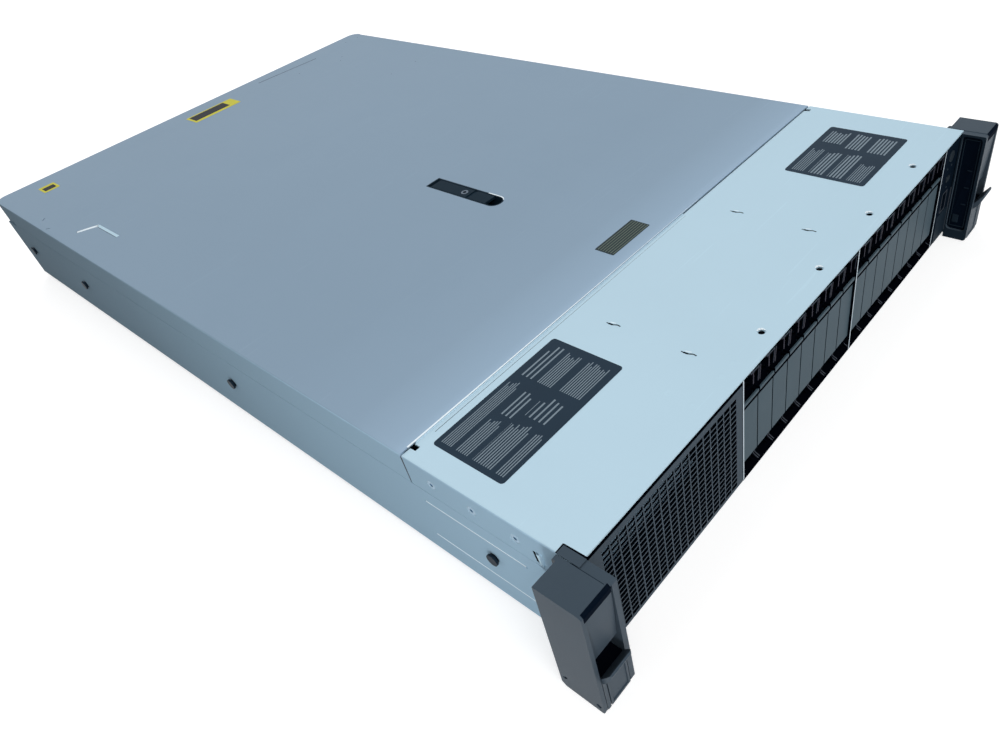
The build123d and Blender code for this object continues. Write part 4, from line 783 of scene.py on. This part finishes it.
def makeBead():
    # The pressed bead in the hood: a painted highlight along its first leg, the plate's paler tone as
    # painted light on its second leg, and a painted shadow line beside it
    materials = {"glint": shades["glint"], "flank": finish["plate_steel"], "line": shades["dim"]}
    for part, material in materials.items():
        shape = bmesh.new()
        addRow(shape, bead[part], up, (0, front, topHeight - bead["sunk"]))
        finishPiece(shape, "hood_bead_" + part, "hood", "hood_steel", material=material)


latchLip = {"radius": 7.3, "front": 253.0, "straight": 13, "turns": (0, -18, -36, -54),
            "widths": (0.9, 1.1, 0.9, 0.5), "sunk": 0.05, "thickness": 0.25}


def makeLatchLip():
    # A painted highlight on the lip of the latch tub on its right side
    shape = bmesh.new()
    low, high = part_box("hood_latch_bezel")
    x, radius = (low.x + high.x) / 2 / mm, latchLip["radius"]
    y = front + latchLip["front"] + radius
    points = [(x + radius, y + latchLip["straight"])] + arcPoints(x, y, radius, latchLip["turns"])
    addPath(shape, points, latchLip["widths"], topHeight - latchLip["sunk"], latchLip["thickness"])
    finishPiece(shape, "latch_lip", "hood", "latch_plastic", material=shades["glint"])


# Fine detail of the ears, the control strip and the rear

earCorner = {
    "x": -220.3, "sunk": 0.05,
    "lug": ((0, -352.9, 0), (0, -366.3, 0), 5.2, 0.3, 1.0),
    "sideJoint": ((3.0, -352.5, 0), (3.1, -366.0, 0), 0.75, 0.2, 1.6),
    "rearJoint": ((-2.6, -352.6, 0), (3.2, -352.4, 0), 0.7, 0.2, 1.0),
}


def makeEarCorner():
    # The near ear laps the plate's corner, with a painted shadow in the gap round it
    lug, joint = bmesh.new(), bmesh.new()
    origin = (earCorner["x"], 0, topHeight - earCorner["sunk"])
    addRow(lug, earCorner["lug"], up, origin, rounding=0.1)
    addRow(joint, earCorner["sideJoint"], up, origin, rounding=0.1)
    addRow(joint, earCorner["rearJoint"], up, origin, rounding=0.1)
    finishPiece(lug, "left_ear_corner", "chassis", "bezel_plastic")
    finishPiece(joint, "left_ear_gap_shadow", "chassis", "bezel_plastic", smooth=False,
                material=shades["deep"])


earBands = {
    "reach": (240.4, 222.0), "thickness": 0.1,
    # Y, Z, width and outward of each band
    "bands": [(-382.3, 83.3, 3.2, (0, -1, 0)), (-381.7, 86.2, 2.3, (0, -0.7, 0.7))],
    "joint": ((-223.2, -361.3, 86.8), (-223.2, -380.2, 86.8), 0.3, 0.05, 1.0),
}


def makeEarBands():
    # Painted shade: dark bands at the front edge of each ear's top, and a dark line along the near one's
    # joint
    band, joint = bmesh.new(), bmesh.new()
    outer, inner = earBands["reach"]
    for side in (-1, 1):
        for y, z, width, outward in earBands["bands"]:
            addStrip(band, (side * outer, y, z), (side * inner, y, z), width, earBands["thickness"],
                     outward, rounding=0.1)
    addRow(joint, earBands["joint"], up, rounding=0.1)
    finishPiece(band, "ear_shade_bands", "chassis", "bezel_plastic", smooth=False,
                material=shades["recess"])
    finishPiece(joint, "ear_joint_shade_line", "chassis", "bezel_plastic", smooth=False,
                material=shades["rim"])


sideLances = {
    "gap": 0.02,
    "slot": ((0, 28.4, 75.4), (0, 27.4, 68.0), 1.6, 0.05, 1.0),
    "tab": ((0, 26.2, 74.2), (0, 24.6, 66.6), 2.3, 0.3, 1.0),
}


def makeSideLances():
    # A short lance high in each side wall, just behind the ear: the slot is a dark strip as painted shade,
    # and the tab takes the plate's paler tone as painted light
    slot, tab = bmesh.new(), bmesh.new()
    for side in (-1, 1):
        origin = (side * (halfWidth + sideLances["gap"]), front, 0)
        addRow(slot, sideLances["slot"], (side, 0, 0), origin)
        addRow(tab, sideLances["tab"], (side, 0, 0), origin)
    finishPiece(slot, "side_lance_slots", "chassis", "tray_steel", smooth=False,
                material=shades["deep"])
    finishPiece(tab, "side_lance_tabs", "chassis", "tray_steel", material=finish["plate_steel"])


dimpleRims = {"x": (-46.0, 22.5, 91.0, 159.5), "y": 11.3, "radius": 2.4,
              "turns": (-30, 5, 40, 75, 110), "widths": (0.8, 1.6, 1.7, 0.9), "sunk": 0.05,
              "thickness": 0.12}


def makeDimpleRims():
    # A painted highlight on the far flank of each dimple hole, where it catches the light
    shape = bmesh.new()
    for x in dimpleRims["x"]:
        points = arcPoints(x, front + dimpleRims["y"], dimpleRims["radius"], dimpleRims["turns"])
        addPath(shape, points, dimpleRims["widths"], topHeight - dimpleRims["sunk"],
                dimpleRims["thickness"], rounding=0.1)
    finishPiece(shape, "dimple_rims", "chassis", "plate_steel", smooth=False,
                material=shades["glint"])


recessFrame = {
    "floor": 219.9, "low": (-378.4, 10.8), "high": (-368.0, 82.0), "width": 0.7, "proud": 0.7,
    "ribHeights": (30.0, 44.0, 58.0), "rib": ((0, 1.5, 0), (0, 5.0, 0), 0.8, 0.6, 1.0),
    "boss": ((0, -371.6, 14.0), (0, -371.6, 20.5), 4.4, 1.2, 1.0),
}


def makeRecessFrames():
    # A raised frame with short ribs and a boss, in each ear's recess, in the rim tone as painted shade
    shape = bmesh.new()
    (y0, z0), (y1, z1) = recessFrame["low"], recessFrame["high"]
    for side in (-1, 1):
        x = side * recessFrame["floor"]
        inward = (-side, 0, 0)
        for start, end in (((y0, z0), (y0, z1)), ((y1, z0), (y1, z1)), ((y0, z0), (y1, z0)),
                           ((y0, z1), (y1, z1))):
            addStrip(shape, (x, *start), (x, *end), recessFrame["width"], recessFrame["proud"], inward)
        for z in recessFrame["ribHeights"]:
            addRow(shape, recessFrame["rib"], inward, (x, y0, z))
        addRow(shape, recessFrame["boss"], inward, (x, 0, 0), rounding=0.4)
    finishPiece(shape, "ear_recess_frames", "chassis", "bezel_plastic", material=shades["rim"])


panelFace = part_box("control_panel")[0].y / mm
panelMiddle = (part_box("power_button")[0].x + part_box("power_button")[1].x) / 2 / mm
panelForms = {
    "padLow": (-9.6, 5.4), "padHigh": (12.2, 29.0), "padRound": 3.0, "padProud": 0.5,
    # The strip's right edge, and the frame round the socket
    "edges": [((11.9, -0.1, 7), (11.9, -0.1, 44), 0.5, 0.6, 1.0),
              ((-4.2, 0, 30.4), (-4.2, 0, 45.6), 0.7, 0.25, 1.0),
              ((4.2, 0, 30.4), (4.2, 0, 45.6), 0.7, 0.25, 1.0),
              ((-4.5, 0, 30.2), (4.5, 0, 30.2), 0.7, 0.25, 1.0),
              ((-4.5, 0, 45.8), (4.5, 0, 45.8), 0.7, 0.25, 1.0)],
    "lights": [(-4.0, 66.5), (3.6, 66.5), (0.0, 50.2), (-5.2, 31.4)],
    "lightRadii": (0.9, 0.63), "lightDepth": 0.4, "lightProud": 0.1,
}


def makeControlStrip():
    pad, edge, lights = bmesh.new(), bmesh.new(), bmesh.new()
    (x0, z0), (x1, z1) = panelForms["padLow"], panelForms["padHigh"]
    addPlate(pad, (panelMiddle + x0, z0, -panelFace),
             (panelMiddle + x1, z1, -panelFace + panelForms["padProud"]), panelForms["padRound"])
    bmesh.ops.rotate(pad, verts=pad.verts, cent=(0, 0, 0), matrix=Matrix.Rotation(math.radians(90), 3, "X"))
    for row in panelForms["edges"]:
        addRow(edge, row, forward, (panelMiddle, panelFace, 0))
    for x, z in panelForms["lights"]:
        addDisc(lights, (panelMiddle + x, panelFace - panelForms["lightProud"], z),
                panelForms["lightRadii"], panelForms["lightDepth"], 16, turn=90)
    finishPiece(pad, "control_pad", "chassis", "panel_plastic", smooth=False, material=shades["rim"])
    # The strip's right edge is a painted highlight in the dim tone; the socket's frame takes the same tone
    finishPiece(edge, "control_edges", "chassis", "panel_plastic", material=shades["dim"])
    finishPiece(lights, "control_lights", "chassis", "panel_plastic", material=finish["button_plastic"])


ports = {
    "networkX": (156.0, 138.0, 120.0, 102.0, 60.0), "networkZ": 15.3,
    "contacts": 8, "contactPitch": 1.02, "contactFacing": (0, 0.36, -0.93),
    "contact": ((0, -11, 5.4), (0, -3.5, 2.6), 0.45, 0.2, 1.0),
    "usbX": (36.0, 16.0), "usbZ": 12.2, "usbContacts": 4, "usbPitch": 2.3,
    "usbTongue": ((0, -13, 1.6), (0, -1.5, 1.6), 10.6, 1.7, 1.0),
    "usbContact": ((0, -9, -0.1), (0, -2, -0.1), 1.1, 0.12, 1.0),
    "serialX": (196.0, -16.0), "serialZ": 14.8, "serialReach": 5.8,
    "serialTongue": ((-7.6, 0, 0), (7.6, 0, 0), 7.4, 0.3, 1.0),
    "pinRows": ((1.4, 5), (-1.4, 4)), "pinPitch": 2.7,
    "pin": ((0, 0.3, -0.35), (0, 0.3, 0.35), 0.7, 0.25, 1.0),
    "nutReach": 12.4, "nutProud": 2.4, "nutRadii": (2.5, 2.3), "nutDepth": 3.6,
}


def makePorts():
    # Contacts, tongues, pins and nuts of the rear ports
    gold, tongue, pins, nuts = bmesh.new(), bmesh.new(), bmesh.new(), bmesh.new()
    for x in ports["networkX"]:
        for across in spread(ports["contacts"], ports["contactPitch"]):
            addRow(gold, ports["contact"], ports["contactFacing"], (x + across, rear, ports["networkZ"]))
    for x in ports["usbX"]:
        addRow(tongue, ports["usbTongue"], down, (x, rear, ports["usbZ"]))
        for across in spread(ports["usbContacts"], ports["usbPitch"]):
            addRow(gold, ports["usbContact"], down, (x + across, rear, ports["usbZ"]))
    for x in ports["serialX"]:
        face, z = rear + ports["serialReach"], ports["serialZ"]
        addRow(tongue, ports["serialTongue"], rearward, (x, face, z))
        for lift, count in ports["pinRows"]:
            for across in spread(count, ports["pinPitch"]):
                addRow(pins, ports["pin"], rearward, (x + across, face, z + lift))
        for side in (-1, 1):
            addDisc(nuts, (x + side * ports["nutReach"], rear + ports["nutProud"], z),
                    ports["nutRadii"], ports["nutDepth"], 6, turn=-90)
    contactGold = brightMetal("Contact gold", (0.80, 0.55, 0.20), 0.25)
    finishPiece(gold, "port_contacts", "chassis", "port_metal", smooth=False, material=contactGold)
    finishPiece(tongue, "port_tongues", "chassis", "port_metal", material=finish["socket_plastic"])
    finishPiece(pins, "serial_pins", "chassis", "port_metal")
    finishPiece(nuts, "serial_nuts", "chassis", "port_metal")


rearScrews = {
    # X, Z and radius of each screw
    "places": [(x, z, 2.4) for x in (202.2, 73.2) for z in (35.0, 55.32, 75.64)]
              + [(-205.0, 78.0, 2.6), (205.0, 78.0, 2.6)],
    "depth": 0.9, "proud": 0.4, "crown": 0.72, "driveProud": 0.84, "driveWidth": 0.22,
    "driveThickness": 0.05,
}


def makeRearScrews():
    # Cross-recess heads at the slot covers and in the rear panel's upper corners; the cross recesses are
    # dark strips as painted shade
    head, drive = bmesh.new(), bmesh.new()
    for x, z, radius in rearScrews["places"]:
        addDisc(head, (x, rear + rearScrews["proud"], z), (radius, radius * rearScrews["crown"]),
                rearScrews["depth"], 24, turn=-90)
        y, half = rear + rearScrews["driveProud"], radius / 2
        for start, end in (((x - half, y, z), (x + half, y, z)), ((x, y, z - half), (x, y, z + half))):
            addStrip(drive, start, end, radius * rearScrews["driveWidth"],
                     rearScrews["driveThickness"], rearward)
    finishPiece(head, "rear_screw_heads", "chassis", "screw_steel")
    finishPiece(drive, "rear_screw_drives", "chassis", "screw_steel", smooth=False,
                material=shades["deep"])


supplyLights = {"inset": 5.2, "proud": 3.2, "z": 33.5, "radii": (1.5, 1.1), "depth": 0.8,
                "colour": (0.10, 0.34, 0.14)}


def makeSupplyLights():
    for number in (1, 2):
        lens = bmesh.new()
        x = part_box("power_supply_%d" % number)[1].x / mm - supplyLights["inset"]
        addDisc(lens, (x, rear + supplyLights["proud"], supplyLights["z"]), supplyLights["radii"],
                supplyLights["depth"], 20, turn=-90)
        glass = mouldedPlastic("Light lens %d" % number, supplyLights["colour"], roughness=0.25, sheen=0.4)
        finishPiece(lens, "supply_light_%d" % number, "supply_%d" % number, "release_plastic",
                    material=glass)


makeSideLines()
makeSeam()
makeLances()
makePressMarks()
makeBead()
makeLatchLip()
print("sheet forms laid")
makeEarCorner()
makeEarBands()
makeSideLances()
makeDimpleRims()
makeRecessFrames()
makeControlStrip()
makePorts()
makeRearScrews()
makeSupplyLights()
print("fine detail placed")


# Stage, lights and camera

stageSize = {"floor": 30.0, "floorShade": 0.55, "floorRoughness": 0.9, "floorGlow": 0.64,
             "farGlow": 0.95, "near": 0.7, "far": 2.2}


def makeFloor():
    # The floor glows a little to the camera, more so far off, and still takes shadow
    shape = bmesh.new()
    bmesh.ops.create_grid(shape, x_segments=1, y_segments=1, size=stageSize["floor"])
    mesh = bpy.data.meshes.new("floor")
    shape.to_mesh(mesh)
    shape.free()
    made = bpy.data.materials.new("Pale floor")
    made.use_nodes = True
    tree = made.node_tree
    shader = tree.nodes["Principled BSDF"]
    shade = stageSize["floorShade"]
    shader.inputs["Base Color"].default_value = (shade, shade, shade, 1)
    shader.inputs["Roughness"].default_value = stageSize["floorRoughness"]
    shader.inputs["Emission Color"].default_value = (1, 1, 1, 1)
    reach = addNode(tree, "ShaderNodeVectorMath", {0: objectPlace(tree)}, operation="LENGTH")
    glow = addNode(tree, "ShaderNodeMapRange",
                   {"Value": reach.outputs["Value"],
                    "From Min": stageSize["near"], "From Max": stageSize["far"],
                    "To Min": stageSize["floorGlow"], "To Max": stageSize["farGlow"]})
    tree.links.new(mathNode(tree, "MULTIPLY", seenByCamera(tree), glow.outputs["Result"]),
                   shader.inputs["Emission Strength"])
    mesh.materials.append(made)
    floor = bpy.data.objects.new("floor", mesh)
    bpy.context.scene.collection.objects.link(floor)
    return floor


lamps = {
    "ambient": 0.30, "aim": (0, -0.1, 0.04),
    "key": {"place": (-1.2, -3.2, 4.0), "size": 3.5, "power": 142.0},
    "top": {"place": (1.5, 2.0, 4.5), "size": 3.0, "power": 62.0},
    "side": {"place": (-0.95, -0.80, 0.07), "size": 0.13, "power": 1.7},
}


def makeWorld():
    # White to the camera, and a softer light on the part
    world = bpy.data.worlds.new("studio")
    bpy.context.scene.world = world
    world.use_nodes = True
    tree = world.node_tree
    background = tree.nodes["Background"]
    background.inputs["Color"].default_value = (1, 1, 1, 1)
    strength = linear(tree, seenByCamera(tree), 1 - lamps["ambient"], lamps["ambient"])
    tree.links.new(strength, background.inputs["Strength"])


def makeLamp(name, place, size, power):
    lamp = bpy.data.lights.new(name, "AREA")
    lamp.shape = "DISK"
    lamp.size = size
    lamp.energy = power
    holder = bpy.data.objects.new(name, lamp)
    holder.location = place
    view = Vector(lamps["aim"]) - Vector(place)
    holder.rotation_euler = view.to_track_quat("-Z", "Y").to_euler()
    bpy.context.scene.collection.objects.link(holder)
    return holder


photoCamera = {
    "place": (-0.34684, -0.52024, 0.36971),
    "turn": (48.136, 8.757, -50.019),
    "lens": 27.906, "sensor": 36.0, "nearest": 0.01,
    "shift": (-0.06736, 0.00067),
}


def makeCamera():
    lens = bpy.data.cameras.new("photo camera")
    lens.lens = photoCamera["lens"]
    lens.sensor_width = photoCamera["sensor"]
    lens.shift_x, lens.shift_y = photoCamera["shift"]
    lens.clip_start = photoCamera["nearest"]
    holder = bpy.data.objects.new("photo camera", lens)
    holder.location = photoCamera["place"]
    holder.rotation_euler = Euler([math.radians(angle) for angle in photoCamera["turn"]])
    bpy.context.scene.collection.objects.link(holder)
    bpy.context.scene.camera = holder
    return holder


floor = makeFloor()
makeWorld()
studioLamps = [makeLamp(name, **lamps[name]) for name in ("key", "top", "side")]
makeCamera()
bpy.context.scene.view_settings.view_transform = "Standard"
print("stage ready")
